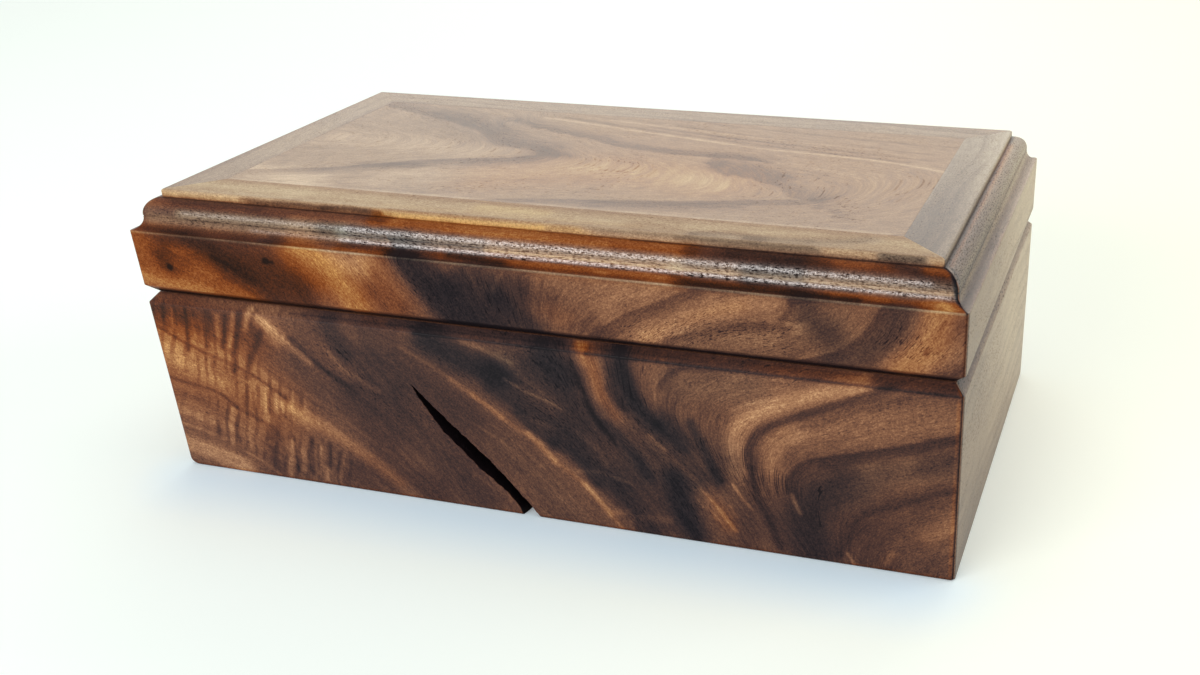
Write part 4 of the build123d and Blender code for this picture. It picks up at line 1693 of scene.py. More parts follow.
LID_STREAKS = strokes(
    # Golden left end with its knots
    Stain.GLOW, (0.55, 6, -153, 78, -132, 77, -114, 74, -104, 72), (0.5, 5, -134, 87, -120, 84),
    (0.35, 5, -148, 93, -144, 86), (0.45, 8, -82, 96, -72, 90, -64, 84, -60, 73),
    (0.25, 6, -52, 88, -46, 78),
    Stain.LIGHT, (0.45, 2.6, -150, 78.5, -140, 76.5, -122, 75), (0.35, 1.5, -133, 89.5, -124, 90),
    (0.75, 6, -80, 97, -70, 93, -57, 92), (0.3, 5, -66, 82, -62, 76), (0.15, 6, -64, 86, -61, 79, -60, 73),
    (0.3, 7, -54, 94, -46, 82), (0.25, 0.4, -122, 88.5, -114, 84.5, -108, 81, -101, 77.5),
    Stain.SHADE, (0.6, 4, -134, 97, -136, 88), (0.45, 3.5, -137, 84, -135.5, 82),
    (1, (5, 6), -126, 96, -114, 89.5, -106, 85, -98, 80, -92, 73),
    (0.65, 6, -104, 95, -94, 88, -84, 80, -80, 72),
    (0.6, (1.5, 1.3), -117, 88.5, -111, 86, -106, 83.5, -101, 80.5), (0.2, 4, -142, 90, -138, 84),
    (0.6, 6, -114, 90, -104, 85, -92, 84, -82, 79), (0.45, 5, -130, 86, -138, 86),
    (0.3, 6, -52, 86, -46, 78), (0.3, (6, 5), -52, 82, -44, 76),
    # The plum line along 95.3 cools the painted highlight on the band's top arris.
    Stain.PLUM, (0.8, 0.6, -149, 95.3, 149, 95.3),
    Stain.RUST, (0.85, 14, -152, 90, -124, 86, -100, 84, -84, 84), (0.5, 8, -76, 90, -60, 78),
    (0.35, 10, -50, 92, -44, 78),
    Stain.KNOT, (1.3, 1.1, -135.9, 83), (1.3, 1, -94.6, 89.1), (0.6, 0.6, -94, 89.1, -91.5, 88.8),
    # Dark heart
    Stain.INK, (1, (9, 4.5), -42, 98, -37, 91, -31, 83, -25, 76, -20, 72),
    (0.9, 7, -22, 86, -12, 78, -6, 72), (0.8, 5, -6, 84, 0, 79, 6, 75), (0.6, 7, -14, 92, 0, 86),
    Stain.LIGHT, (0.4, 1, -3, 94, -7, 87), (0.25, 3, -24, 95, -8, 94),
    # Rising grain
    Stain.LIGHT, (0.42, (8, 7), 12, 94, 28, 92, 52, 95), (0.35, 12, 36, 86, 60, 85, 96, 86),
    (0.5, (4.5, 5), 34, 82, 46, 77, 62, 78), (0.45, 4, 139, 78, 150, 84), (0.15, 9, 108, 84, 120, 86),
    (0.3, (5, 1), 20, 79, 32, 85, 46, 91, 58, 96), (0.48, 3.2, 44, 75, 56, 82, 66, 87, 76, 90.5, 90, 94),
    (0.65, 1.1, 89, 85.5, 96, 86, 100.5, 86.6), (0.7, 1.2, 96, 83.8, 98, 84.4), (0.25, 6, 112, 92, 116, 84),
    (0.45, 0.5, 98, 75, 106, 77.6, 113, 80.5), (0.42, 5, 140, 95, 137, 84, 129, 76),
    (0.3, 3, 66, 79, 90, 80),
    Stain.GLOW, (0.15, 4, 4, 82, 18, 80), (0.18, 2.6, 46, 76, 58, 82, 68, 87, 80, 91),
    (0.55, 6, 142, 95, 139, 84, 131, 75), (0.6, 1, 150, 73, 150, 96),
    Stain.SHADE, (0.65, (0.5, 3), 26, 74, 33, 79, 40, 83.5, 48, 87, 56, 91, 64, 95),
    (0.6, (0.9, 2.2), 53, 76, 62, 79, 70, 81.5, 78, 84, 88, 85.6, 94, 85.5),
    (0.45, 5, 99, 95, 102, 88, 108, 84), (0.55, (0.5, 1.6), 91, 86.5, 93.5, 90, 95.5, 95),
    (0.65, (3.6, 0.4), 124.5, 96, 121, 90, 118, 86, 114, 81.5, 108, 78, 99, 74.6),
    (0.35, 4, 130, 95, 127, 87, 120, 79), (0.55, 0.4, 143, 92.5, 141, 88, 139, 84.5),
    # Among these, the strokes along 72.3 and 73.9 paint shade on the chamfer above the seam, and the one up
    # the end at 150 paints shade on that arris.
    (0.7, 0.7, 138, 83, 137.4, 81), (0.45, 2.4, 143, 74.5, 151, 77), (2.3, 1.1, -152, 72.3, 152, 72.3),
    (0.5, 0.35, -152, 73.9, 152, 73.9), (2.2, 0.9, 150, 73, 150, 96), (0.3, 3, 30, 74, 40, 79),
    (0.35, 6, 8, 88, 18, 82, 28, 80),
    Stain.PLUM, (0.7, 5, 99, 95, 102, 88, 108, 84), (0.8, 5, 130, 96, 126, 87, 119, 80, 108, 75),
    (0.4, 8, 60, 76, 90, 79, 108, 88),
    Stain.PORES, (0.6, 5, 44, 78, 60, 80, 92, 82), (0.7, 4, 138, 82, 126, 84),
    # Cove
    Stain.SHADE, (0.5, 3, -150, 98.5, -90, 98.5), (0.5, 1.6, -143, 98, -128, 97.5),
    (0.7, 1.6, -64, 100, -54, 99.6), (1.1, (2.4, 2.2), -47, 98.3, -36, 97.6), (0.55, 2, 56, 98.6, 74, 97.4),
    (0.6, 1.4, -96, 97.2, -76, 97), (0.8, 0.7, -48, 96.4, 0, 96.2),
    (0.7, (1.4, 1.2), 56, 100, 64, 97.6, 72, 96.5), (0.5, 0.7, 112, 98, 124, 96.4),
    (0.3, 2.5, -34, 98.5, -24, 98), (0.85, (2.2, 1.8), -92, 99.8, -50, 99.6),
    (0.7, 1.5, -10, 96.9, 60, 96.9), (1.45, 1.8, 58, 96.9, 116, 96.9), (0.6, 1.2, 110, 96.6, 138, 96.6),
    (0.75, 1.6, -92, 96.9, -50, 96.9), (1.2, 2.2, -23, 99.6, -12, 98.8, -4, 98),
    (1.3, 2.6, 80, 100.2, 90, 98.6, 99, 97), (0.9, 1.6, 94, 99.6, 106, 97.4),
    Stain.GLOW, (0.25, 1.2, -90, 97, -66, 97), (0.4, 1.1, -67, 96.9, -48, 96.9),
    (0.2, 1.6, -1, 98.4, 56, 98.4), (0.2, 1.6, 107, 99, 138, 98.2), (0.3, 1.6, 139, 99.4, 148, 97.4),
    Stain.RUST, (1, 3.6, -46, 98.6, 58, 98.6), (1, 2.5, 58, 98, 150, 98), (0.3, 3, -150, 98.6, -64, 98.6),
    (0.6, 3, -64, 98.6, -46, 98.6),
    Stain.LIGHT, (0.6, 1.2, 30, 98.5, 33, 98), (0.5, 1, 48, 96.4, 54, 96.2),
    (0.55, 1.5, 141.5, 99.4, 144, 97.2),
    # A painted highlight along the rounded arris at the top of the band.
    Stain.PALE, (0.65, 0.45, -149, 95.4, 149, 95.4),
    # Shining strips and the quirk between them: polish raises the coat there, pale strokes paint the
    # highlight over it, and thin dark lines paint shade along the quirk and the lip of the cove
    Stain.POLISH, (1.1, (2.2, 1.9), -64, 102.9, 143, 102.9), (0.8, (2.2, 2.5), -62, 106, 136, 106),
    (0.3, 1.5, -128, 106.4, -64, 106.4), (0.2, 1.5, -100, 102.6, -64, 102.6),
    Stain.PORES, (1, 3.2, -60, 104.6, 146, 104.6), (1, 3.2, 57, 104.6, 146, 104.6),
    (0.5, 4, -140, 106, -70, 105),
    Stain.PALE, (0.45, 3.3, -64, 104.7, 57, 104.7), (0.55, 3.3, 57, 104.7, 146, 104.7),
    (0.55, 2, -130, 106.2, -64, 106.4), (0.3, 3, -142, 102.5, -64, 102.5),
    Stain.SHADE, (0.5, 0.4, -66, 104.1, 140, 104.1), (0.8, 0.4, -64, 101.1, 115, 101.1),
    (0.4, 0.45, -128, 104, -66, 104),
    # Upper bead
    Stain.SHADE, (0.6, (3, 2), -140, 112.5, -98, 112), (0.35, 3, -98, 112, -66, 112),
    # The strokes along 114.5 paint the shade in the quirk under the fillet.
    (1.2, 0.55, -140, 114.5, -46, 114.5), (0.5, 0.45, -46, 114.5, 40, 114.5),
    (1.35, 0.55, 40, 114.5, 150, 114.5), (0.55, 2.6, 70, 109.6, 145, 109.6),
    (0.45, 2.6, 100, 112.4, 140, 112), (0.3, 2, -128, 108, -20, 107.6), (0.9, 3.4, 61, 111, 76, 111),
    (0.55, 3.5, 60, 105, 146, 105), (0.55, 3, 62, 99, 80, 98), (0.4, 3, 90, 112, 100, 112),
    (0.9, 2.4, 126, 113, 134, 110.6), (0.55, 3, -60, 112.5, -50, 112), (0.7, 3, 84, 110, 104, 109.4),
    (0.6, 5, 146, 107, 138, 108), (1.2, (3.8, 3.4), 74, 112.2, 97, 112),
    Stain.INK,
    # This stroke paints shade along the arris up the right end of the moulding.
    (1.4, 0.7, 149.7, 95.8, 148.6, 97.6, 146.9, 99.6, 145.6, 102, 145.1, 105, 144.4, 108.5, 142.8, 112,
     140.8, 115.4),
    (0.5, 3, 80, 105, 96, 105), (0.4, 3, -72, 106, -50, 106),
    Stain.GLOW, (0.45, 2.6, -46, 112.4, 0, 112.2, 57, 112.2),
    (0.3, 2.6, 100, 111.8, 112, 111.6, 124, 111.4), (0.95, 1.9, 136, 112, 144, 111.4),
    Stain.RUST, (1, 4, -52, 112, 60, 112), (0.62, 4, 60, 112, 150, 112),
    (0.4, 3.4, -144, 112.5, -52, 112.5), (0.2, 1.4, -144, 116, 26, 116),
    Stain.LIGHT, (0.4, 1.8, 108, 112, 118, 111.4), (0.2, 2, -20, 112.6, 10, 112.4),
    Stain.PLUM, (0.6, 1.8, -40, 111.4, -28, 110.6),
    # Fillet and the frame on top
    Stain.GLOW, (0.1, 1.5, -142, 116.6, -104, 116.6), (0.35, 1.3, -54, 116.4, 8, 116.4),
    (0.25, 1.3, 8, 116.4, 24, 116.4), (0.12, 2, -52, 121, 40, 122), (0.3, 4, -18, 127, 4, 127),
    Stain.SHADE, (0.9, (0.8, 1), -107, 117, -96, 116.6, -82, 116.8, -74, 116.2),
    (1.1, (1.1, 1.2), -74, 116.4, -64, 117, -52, 116.4), (0.5, 1.5, 56, 116.8, 101, 116.8),
    (0.55, 2.4, 60, 120.5, 72, 124, 82, 120), (0.45, 3, 78, 121, 98, 124, 114, 128),
    Stain.PLUM, (0.7, 1.6, 24, 116.8, 101, 116.8), (0.6, 1.2, 8, 115.2, 136, 115.2),
    (0.4, 3, 60, 120, 100, 122, 116, 128), (0.75, 3, -150, 105, -64, 105), (0.5, 2.8, -64, 105, -12, 105),
    (0.4, 1.6, -96, 97.6, -66, 97.4),
    Stain.INK, (0.7, 1.4, 121, 116.8, 134, 116.8),
    Stain.LIGHT, (0.6, 1.4, -142, 116.6, -106, 116.6), (0.45, 1.2, 101, 116.8, 120, 116.8),
    (0.7, 1.2, 135, 116.8, 141, 116.8), (0.9, 1, -46, 115.8, 100, 115.8), (0.5, 2, -142, 118, -96, 118.2),
    (0.35, 1.6, -82, 119, -50, 119), (0.5, 3, -150, 110, -138, 112), (0.32, 4, -146, 104, -66, 104),
    (0.45, 1.2, -142, 116.1, -106, 116.1), (0.45, 1.2, -50, 116.1, 145, 116.1),
    # The stroke along 103.6 paints highlight over the quirk between the shining strips.
    (1.3, 0.9, -10, 103.6, 144, 103.6), (0.38, 1.8, -50, 109.5, 32, 109.5),
    (0.5, 1.8, -84, 109.5, -52, 109.5), (0.3, 1, 0, 118.2, 112, 118.2), (0.4, 0.6, -124, 133.2, 124, 133.2),
    # These broad strokes along the frame's top face, with the pale ones below, paint it paler, for the light
    # and glare on the top.
    (0.1, 9, -152, 126, 152, 126), (0.3, 6, -140, 124, 30, 124), (0.3, 8, -142, 127, -90, 125),
    (0.3, 8, 60, 127, 146, 126),
    Stain.PALE, (0.88, 8.5, -152, 127, 152, 127), (0.45, 3.5, -152, 119, 152, 119),
    Stain.RUST, (0.16, 9, -152, 126, 152, 126),
)

# Painted shade on the chamfer in the seam under the lid and along the foot.
PLAIN_BODY_STREAKS = strokes(Stain.SHADE, (0.9, 1.6, -152, 70, 152, 70), (0.5, 1.2, -152, 0, 152, 0))

# The right boards: a painted sheen makes the whole face pale and grey, painted shade darkens the seam and the
# quirk under the fillet, and pores, rust and a dark line at the front mitre mark the wood.
RIGHT_SHEEN_AND_MARK_STREAKS = strokes(
    Stain.PAINTED_SHEEN, (0.5, 400, 0, 60, 0, 62),
    Stain.LIGHT, (1.3, 90, 70, 60, 70, 100), (0.18, 400, 0, 60, 0, 62),
    (0.3, (22, 12), -30, 62, 16, 48, 40, 40),
    Stain.PLUM, (0.58, 400, 0, 60, 0, 62), (0.55, 1.9, -152, 71.4, 152, 71.4),
    (0.6, 6, -152, 106, 152, 108),
    Stain.SHADE, (1.8, 0.7, -81, -2, -81, 96), (1.4, 0.6, -81, 96, -70, 115),
    (0.35, 14, -80, 2, 10, 2, 40, -4), (0.3, 1.2, -80, 26, 0, 17, 60, 8), (0.3, 1, -80, 20, 0, 11, 40, 5),
    (1, 9, -152, 128, 152, 128), (1.9, (1.4, 1.1), -152, 115, 152, 115), (0.5, 1.2, -152, 97, 152, 97),
    (0.5, 1.5, -152, 71.2, 152, 71.2), (0.25, 3, -80, 107, 80, 108),
    Stain.RUST, (0.9, 1.8, -70, 114.4, 60, 114.4), (0.25, 1.5, -70, 97, -10, 96),
    Stain.PORES, (0.9, 7, -70, 107, 60, 108), (0.3, 30, -70, 60, 60, 50),
)

# Painted shade on the chamfer in the seam, in the hollows and on the bead of the moulding and in the quirk
# under the fillet, and a painted paler top face for the light on the top.
PLAIN_LID_STREAKS = strokes(
    Stain.SHADE, (0.9, 1.6, -152, 73, 152, 73), (1, 2.4, -152, 99, 152, 99), (0.8, 1, -152, 104, 152, 104),
    (0.4, 2.5, -152, 112, 152, 112), (1.4, 0.8, -152, 115, 152, 115),
    Stain.PAINTED_SHEEN, (1, 9.5, -152, 127, 152, 127),
)

TOP_LINES = grain_lines(
    (6, -124, 4, -100, 3), (18, -124, 28, -90, 16, -66, 4, -90, -12, -124, -22),
    (30, -120, 48, -95, 39, -79, 31, -62, 21, -48, 8, -30, 0, -53, -13, -88, -30, -124, -44),
    (42, -80, 50, -40, 32, 0, 8, 22, -8, 0, -26, -50, -38, -124, -54),
    (52, -58, 39, -25, 26, 8, 13, 50, 8, 68, -14, 85, -29, 45, -40, 0, -49, -60, -58),
    (64, -48, 47, -2, 37, 31, 30, 92, 21, 124, 12), (76, 0, 52, 40, 46, 124, 30), (88, 60, 56, 124, 46),
    (64, 124, -18, 108, -36, 70, -46, 20, -56), (72, 124, -42, 80, -55),
)

TOP_STREAKS = strokes(
    Stain.SHADE,
    (0.68, (9, 1.2), -124, 50, -95, 39, -79, 31.4, -62.5, 21.5, -55.5, 13.4, -48.5, 7.5, -39, 5.2,
     -26, 3.5),
    (1.02, 4, -26, 1, -16, -1),
    (0.75, (7, 0.5), -29, -3.5, -39, -9, -53, -13, -65, -17, -74, -23, -88, -30, -100, -36, -124, -44),
    (0.68, 4, -66, -25, -84, -27),
    (0.8, (7, 0.5), -58, 39, -48, 34.4, -37, 29.7, -25, 25.5, -15.7, 22.7, -6.4, 17.3, 7.7, 13.4, 22, 11,
     38, 10.3, 56, 9),
    (0.51, 7, -92, 44, -66, 32, -44, 16, -28, 8), (0.3, 12, -90, 34, -60, 14),
    (0.3, 12, -20, -12, -44, -22),
    (0.7, (9, 1), 38, 6.3, 39.5, 0.5, 45, -5.3, 57, -9, 68.5, -14.7, 78, -23, 85, -29),
    (0.59, 5, 44, 4, 58, 1, 72, -8),
    (0.65, (6, 0.6), 85, -29, 68.5, -33.4, 45, -40.4, 21.7, -45, -1.7, -49, -22, -55),
    (0.51, 3.5, 66, -40, 40, -46, 16, -50), (0.59, (1.2, 0.8), -40, 49, -2, 40, 31, 33, 60, 28, 110, 20),
    (0.51, 0.9, 0, 44, 40, 35.5, 76, 30, 118, 24), (0.42, 0.8, 10, 48, 60, 38, 118, 32),
    (0.34, 1, 20, 54, 80, 46, 124, 42), (0.42, 2, 92, -34, 104, -44),
    Stain.LIGHT,
    (0.74, 0.9, -48, 47.3, -25, 42.6, -1.7, 36.8, 31, 29.7, 54, 25, 92, 21, 111, 16.9, 124.6, 12.2),
    (0.35, 9, -124, 2, -84, 0, -52, -4), (0.85, 9, -124, -44, -96, -50),
    (0.42, 9, -70, -40, 0, -14, 50, -20), (0.51, 0.8, -20, 50, 40, 40, 100, 33),
    (0.51, 1, -124, -55, 120, -55),
    Stain.RUST, (0.3, 18, -30, -30, 10, -14, 50, -18), (0.2, 60, 20, 10, 100, 0),
    Stain.PORES, (0.4, 5, 96, -24, 106, -44), (0.3, 5, 20, 40, 100, 26),
)


# What the finishes of the plain boards share.
PLAIN_WOOD = dict(paleness=0.12, ring_spacing=8.0, speckle_depth=0.78, pore_depth=0.24, shine=0.5, tear=0.2)


@dataclass
class Half:
    """One half of the box: four boards and a panel."""

    sizes: BoxSizes
    sweep: SweepTree
    front_fine: float = 0.65
    plain_fine: float = 1.4

    @staticmethod
    def plain_figures(streaks: tuple[Streak, ...], shift: float) -> dict[Side, Figure]:
        """What the back, left and right boards show: straight grain, and on the right boards a painted sheen
        that makes them pale.

        Args:
            streaks: the streaks that all three have, which paint shade and, on the lid, a paler top.
            shift: where the rings of the back board start; the others start further on.

        Returns:
            The figures.
        """
        grains = ((Side.BACK, 0.05, ()), (Side.LEFT, -0.04, ()), (Side.RIGHT, 0.02, RIGHT_SHEEN_AND_MARK_STREAKS))
        figures = {}
        for k, (side, slope, more) in enumerate(grains):
            figures[side] = Figure((), streaks + more, shift=shift + 30.0 * k, slope=slope, fringe=0.0)
        return figures

    def boards(
        self, body: str, figures: dict[Side, Figure], front: Finish, plain: Finish,
        cutters: dict[Side, list[Mesh]], worn: dict[Side, Point],
    ) -> list[Piece]:
        """Builds the four boards.

        Args:
            body: the body that they ride on, "body" or "lid".
            figures: what each board shows.
            front: the finish of the front board.
            plain: the finish of the other three.
            cutters: what is cut from a board.
            worn: how far the foot of each board is worn round at its two ends.

        Returns:
            The finished boards.
        """
        lid = body == "lid"
        materials = (front.material(), plain.material())
        pieces = []
        for side, figure in figures.items():
            ahead = side is Side.FRONT
            board = MitredBoard(
                node=f"{body}_{side.name.lower()}_board",
                side=side,
                sizes=self.sizes,
                section=self.sizes.lid_section() if lid else self.sizes.body_section(),
                height=self.sizes.lid_height if lid else self.sizes.body_height,
                base=self.sizes.lid_z if lid else 0.0,
                material=materials[0] if ahead else materials[1],
                body=body,
                figure=figure,
                fine=self.front_fine if ahead else self.plain_fine,
                cutters=cutters.get(side, []),
                worn=worn.get(side, (0.0, 0.0)),
            )
            pieces.append(board.build(self.sweep))
        return pieces


@dataclass
class Body(Half):
    """The lower half of the box: four boards and the bottom."""

    def build(self) -> list[Piece]:
        """Builds the boards and the bottom panel.

        Returns:
            The finished pieces.
        """
        figured = Walnut("walnut_body_front", ring_spacing=5.5, ring_depth=0.06)
        plain = Walnut("walnut_body", level=0.54, **PLAIN_WOOD)
        torn = {"torn_past": -88.0, "torn_from": 1.0, "torn_to": 67.0}
        figures = {
            Side.FRONT: Figure(BODY_LINES, BODY_STREAKS, fringe=0.12, **torn),
            **self.plain_figures(PLAIN_BODY_STREAKS, 30.0),
        }
        cutters = {Side.FRONT: [SeasonCheck().cutter()], Side.BACK: HingeSet(self.sizes).housings(lid=False)}
        worn = {Side.FRONT: (4.0, 1.6), Side.RIGHT: (1.6, 1.0), Side.BACK: (1.0, 1.0), Side.LEFT: (1.0, 4.0)}
        boards = self.boards("body", figures, figured, plain, cutters, worn)
        panel = FlushPanel(
            node="bottom_panel",
            sizes=self.sizes,
            low=0.0,
            tongue_low=self.sizes.tongue_set_in,
            material=Walnut("walnut_bottom_panel", level=0.50, ring_spacing=12.0).material(),
            slot="walnut_bottom_panel",
            body="body",
            figure=Figure(shift=14.0, wave=5.0, wave_length=260.0),
        )
        return [*boards, panel.build()]


@dataclass
class Lid(Half):
    """The upper half of the box: four moulded boards and the top."""

    def build(self) -> list[Piece]:
        """Builds the boards and the top panel.

        Returns:
            The finished pieces.
        """
        figured = Walnut(
            "walnut_lid_front", ring_spacing=5.5, ring_depth=0.03, fibre_depth=0.16, shine=0.05, groove=0.3,
            coat_bend=1.8,
        )
        plain = Walnut("walnut_lid", level=0.52, groove=0.3, **PLAIN_WOOD)
        edge = self.sizes.lid_z + self.sizes.band_top
        drawn = {"straight_from": edge - 2, "straight_over": 8.0, "torn_from": 75.5, "torn_to": edge - 1}
        figures = {
            Side.FRONT: Figure(LID_LINES, LID_STREAKS, fringe=0.45, **drawn),
            **self.plain_figures(PLAIN_LID_STREAKS, 34.0),
        }
        cutters = {Side.BACK: HingeSet(self.sizes).housings(lid=True)}
        boards = self.boards("lid", figures, figured, plain, cutters, {})
        top = self.sizes.lid_z + self.sizes.lid_height
        # Paler than the walls: painted light for the glare and brighter light on the top; the panel's hidden
        # faces lose most of it.
        top_walnut = Walnut(
            "walnut_top_panel", level=0.60, paleness=0.70, ring_spacing=7.0, ring_depth=0.05,
            cloud_depth=0.14, fibre_length=14.0, fibre_depth=0.28, speckle_depth=0.54, mottle_depth=0.30,
            pore_depth=0.16, shine=0.32,
        )
        panel = FlushPanel(
            node="lid_top_panel",
            sizes=self.sizes,
            low=top - self.sizes.panel_t,
            tongue_low=top - self.sizes.tongue_set_in - self.sizes.tongue_t,
            material=top_walnut.material(),
            slot="walnut_top_panel",
            body="lid",
            figure=Figure(TOP_LINES, TOP_STREAKS, inner_pale=-0.6),
        )
        return [*boards, panel.build()]


@dataclass
class HingeSet:
    """The two brass butt hinges: what the boards lose to them, and their screws."""

    sizes: BoxSizes
    inset: float = 40.0
    length: float = 44.0
    leaf_t: float = 1.2
    leaf_width: float = 15.0
    barrel_radius: float = 2.4
    barrel_play: float = 0.3
    mortise_play: float = 0.1
    recess_sides: int = 40
    seam_gap: float = 0.4
    pin_set_out: float = 0.5
    screw_row: float = 9.3
    screw_stagger: float = 2.4
    screw_spacing: float = 15.0
    screw_radius: float = 1.1
    head_radius: float = 2.1
    screw_length: float = 9.5
    screw_point: float = 2.0
    screw_sides: int = 28
    thread_pitch: float = 0.9
    slot_width: float = 0.6
    slot_depth: float = 0.5

    @property
    def pin_inward(self) -> float:
        """How far the pin's axis is inside the back face."""
        return self.sizes.seam_chamfer + self.seam_gap / 2 - self.pin_set_out

    @property
    def hinge_x(self) -> float:
        """Middle of a hinge from the middle of the box."""
        return self.sizes.width / 2 - self.inset - self.length / 2

    def housings(self, lid: bool) -> list[Mesh]:
        """Cutters for the leaf mortises and barrel recesses, on the back board's own plane.

        Args:
            lid: true for the lid's board, false for the body's.

        Returns:
            The cutters, in millimetres.
        """
        edge = 0.0 if lid else self.sizes.body_height
        way = 1.0 if lid else -1.0
        pin_up = edge - way * self.seam_gap / 2
        cutters = []
        for x in (-self.hinge_x, self.hinge_x):
            half = self.length / 2 + self.mortise_play
            deep = self.pin_inward + self.leaf_width + self.mortise_play
            low, high = sorted((edge - way, edge + way * self.leaf_t))
            cutters.append(block((x - half, self.pin_inward, low), (x + half, deep, high)))
            cutters.append(self._recess(x, pin_up))
        return cutters

    def _recess(self, x: float, pin_up: float) -> Mesh:
        """A round bar along the barrel, a little larger than it.

        Args:
            x: middle of the hinge.
            pin_up: height of the pin's axis.

        Returns:
            The bar.
        """
        radius = self.barrel_radius + self.barrel_play
        half = self.length / 2 + self.barrel_play
        ring = []
        for k in range(self.recess_sides):
            angle = k / self.recess_sides * 2 * math.pi
            ring.append((self.pin_inward + radius * math.cos(angle), pin_up + radius * math.sin(angle)))
        return loft([[(x + end, inward, up) for inward, up in ring] for end in (-half, half)])

    def screw(self) -> Mesh:
        """One countersunk slotted screw, its head level with zero and its point below.

        Returns:
            The mesh, in millimetres.
        """
        neck = self.head_radius - self.screw_radius
        up = -neck - 1.2
        core = self.screw_radius * 0.72
        steps = [(self.head_radius - 0.12, 0.0), (self.head_radius, -0.12)]
        steps += [(self.screw_radius, -neck - 0.1), (self.screw_radius, up)]
        while up > self.screw_point - self.screw_length:
            steps += [(core, up - 0.15), (core, up - 0.45)]
            steps += [(self.screw_radius, up - 0.62), (self.screw_radius, up - 0.75)]
            up -= self.thread_pitch
        steps.append((0.15, -self.screw_length))
        angles = [k / self.screw_sides * 2 * math.pi for k in range(self.screw_sides)]
        mesh = loft([[(r * math.cos(a), r * math.sin(a), z) for a in angles] for r, z in steps])
        half_slot = self.slot_width / 2
        cut = cut_away(mesh, [block((-half_slot, -3.0, -self.slot_depth), (half_slot, 3.0, 1.0))])
        tidy_mesh(cut, FINE_MERGE, METAL_SHARP_OVER)
        return cut


class ScrewTree(PieceTree):
    """Sets the same screw in both hinges of one body."""

    NAME = "hinge_screws"
    START = "Screw"
    LENGTHS = ("Hinge Place", "Spacing", "Row", "Stagger", "Height", "Way", "Turn")
    COUNTS = ("Count", "Seed")

    def shape(self, graph: Graph, given: Socket) -> Socket:
        """Adds the nodes that set the screws.

        Args:
            graph: the tree's graph.
            given: one screw.

        Returns:
            All the screws.
        """
        count = given["Count"]
        line = graph.node("GeometryNodeMeshLine", {"Count": count * 2.0})
        index = graph.node("GeometryNodeInputIndex")
        hinge = (index / count + 0.001).rise(0.999, 1.0)
        place_in_row = index - hinge * count - (count - 1.0) * 0.5
        x = (hinge * 2.0 - 1.0) * given["Hinge Place"] + place_in_row * given["Spacing"]
        middle = 1.0 - place_in_row.size().least(1.0)
        y = given["Row"] - middle * given["Stagger"]
        placed = {"Geometry": line, "Position": graph.vector(x, y, given["Height"])}
        points = graph.node("GeometryNodeSetPosition", placed)
        limits = {"Min": 0.0, "Max": given["Turn"], "Seed": given["Seed"]}
        turn = graph.node("FunctionNodeRandomValue", limits, data_type="FLOAT")
        upended = (1.0 - given["Way"]) * (math.pi / 2)
        rotation = graph.node("FunctionNodeEulerToRotation", {"Euler": graph.vector(upended, 0.0, turn)})
        sown = {"Points": points, "Instance": given, "Rotation": rotation}
        return graph.node("GeometryNodeInstanceOnPoints", sown)


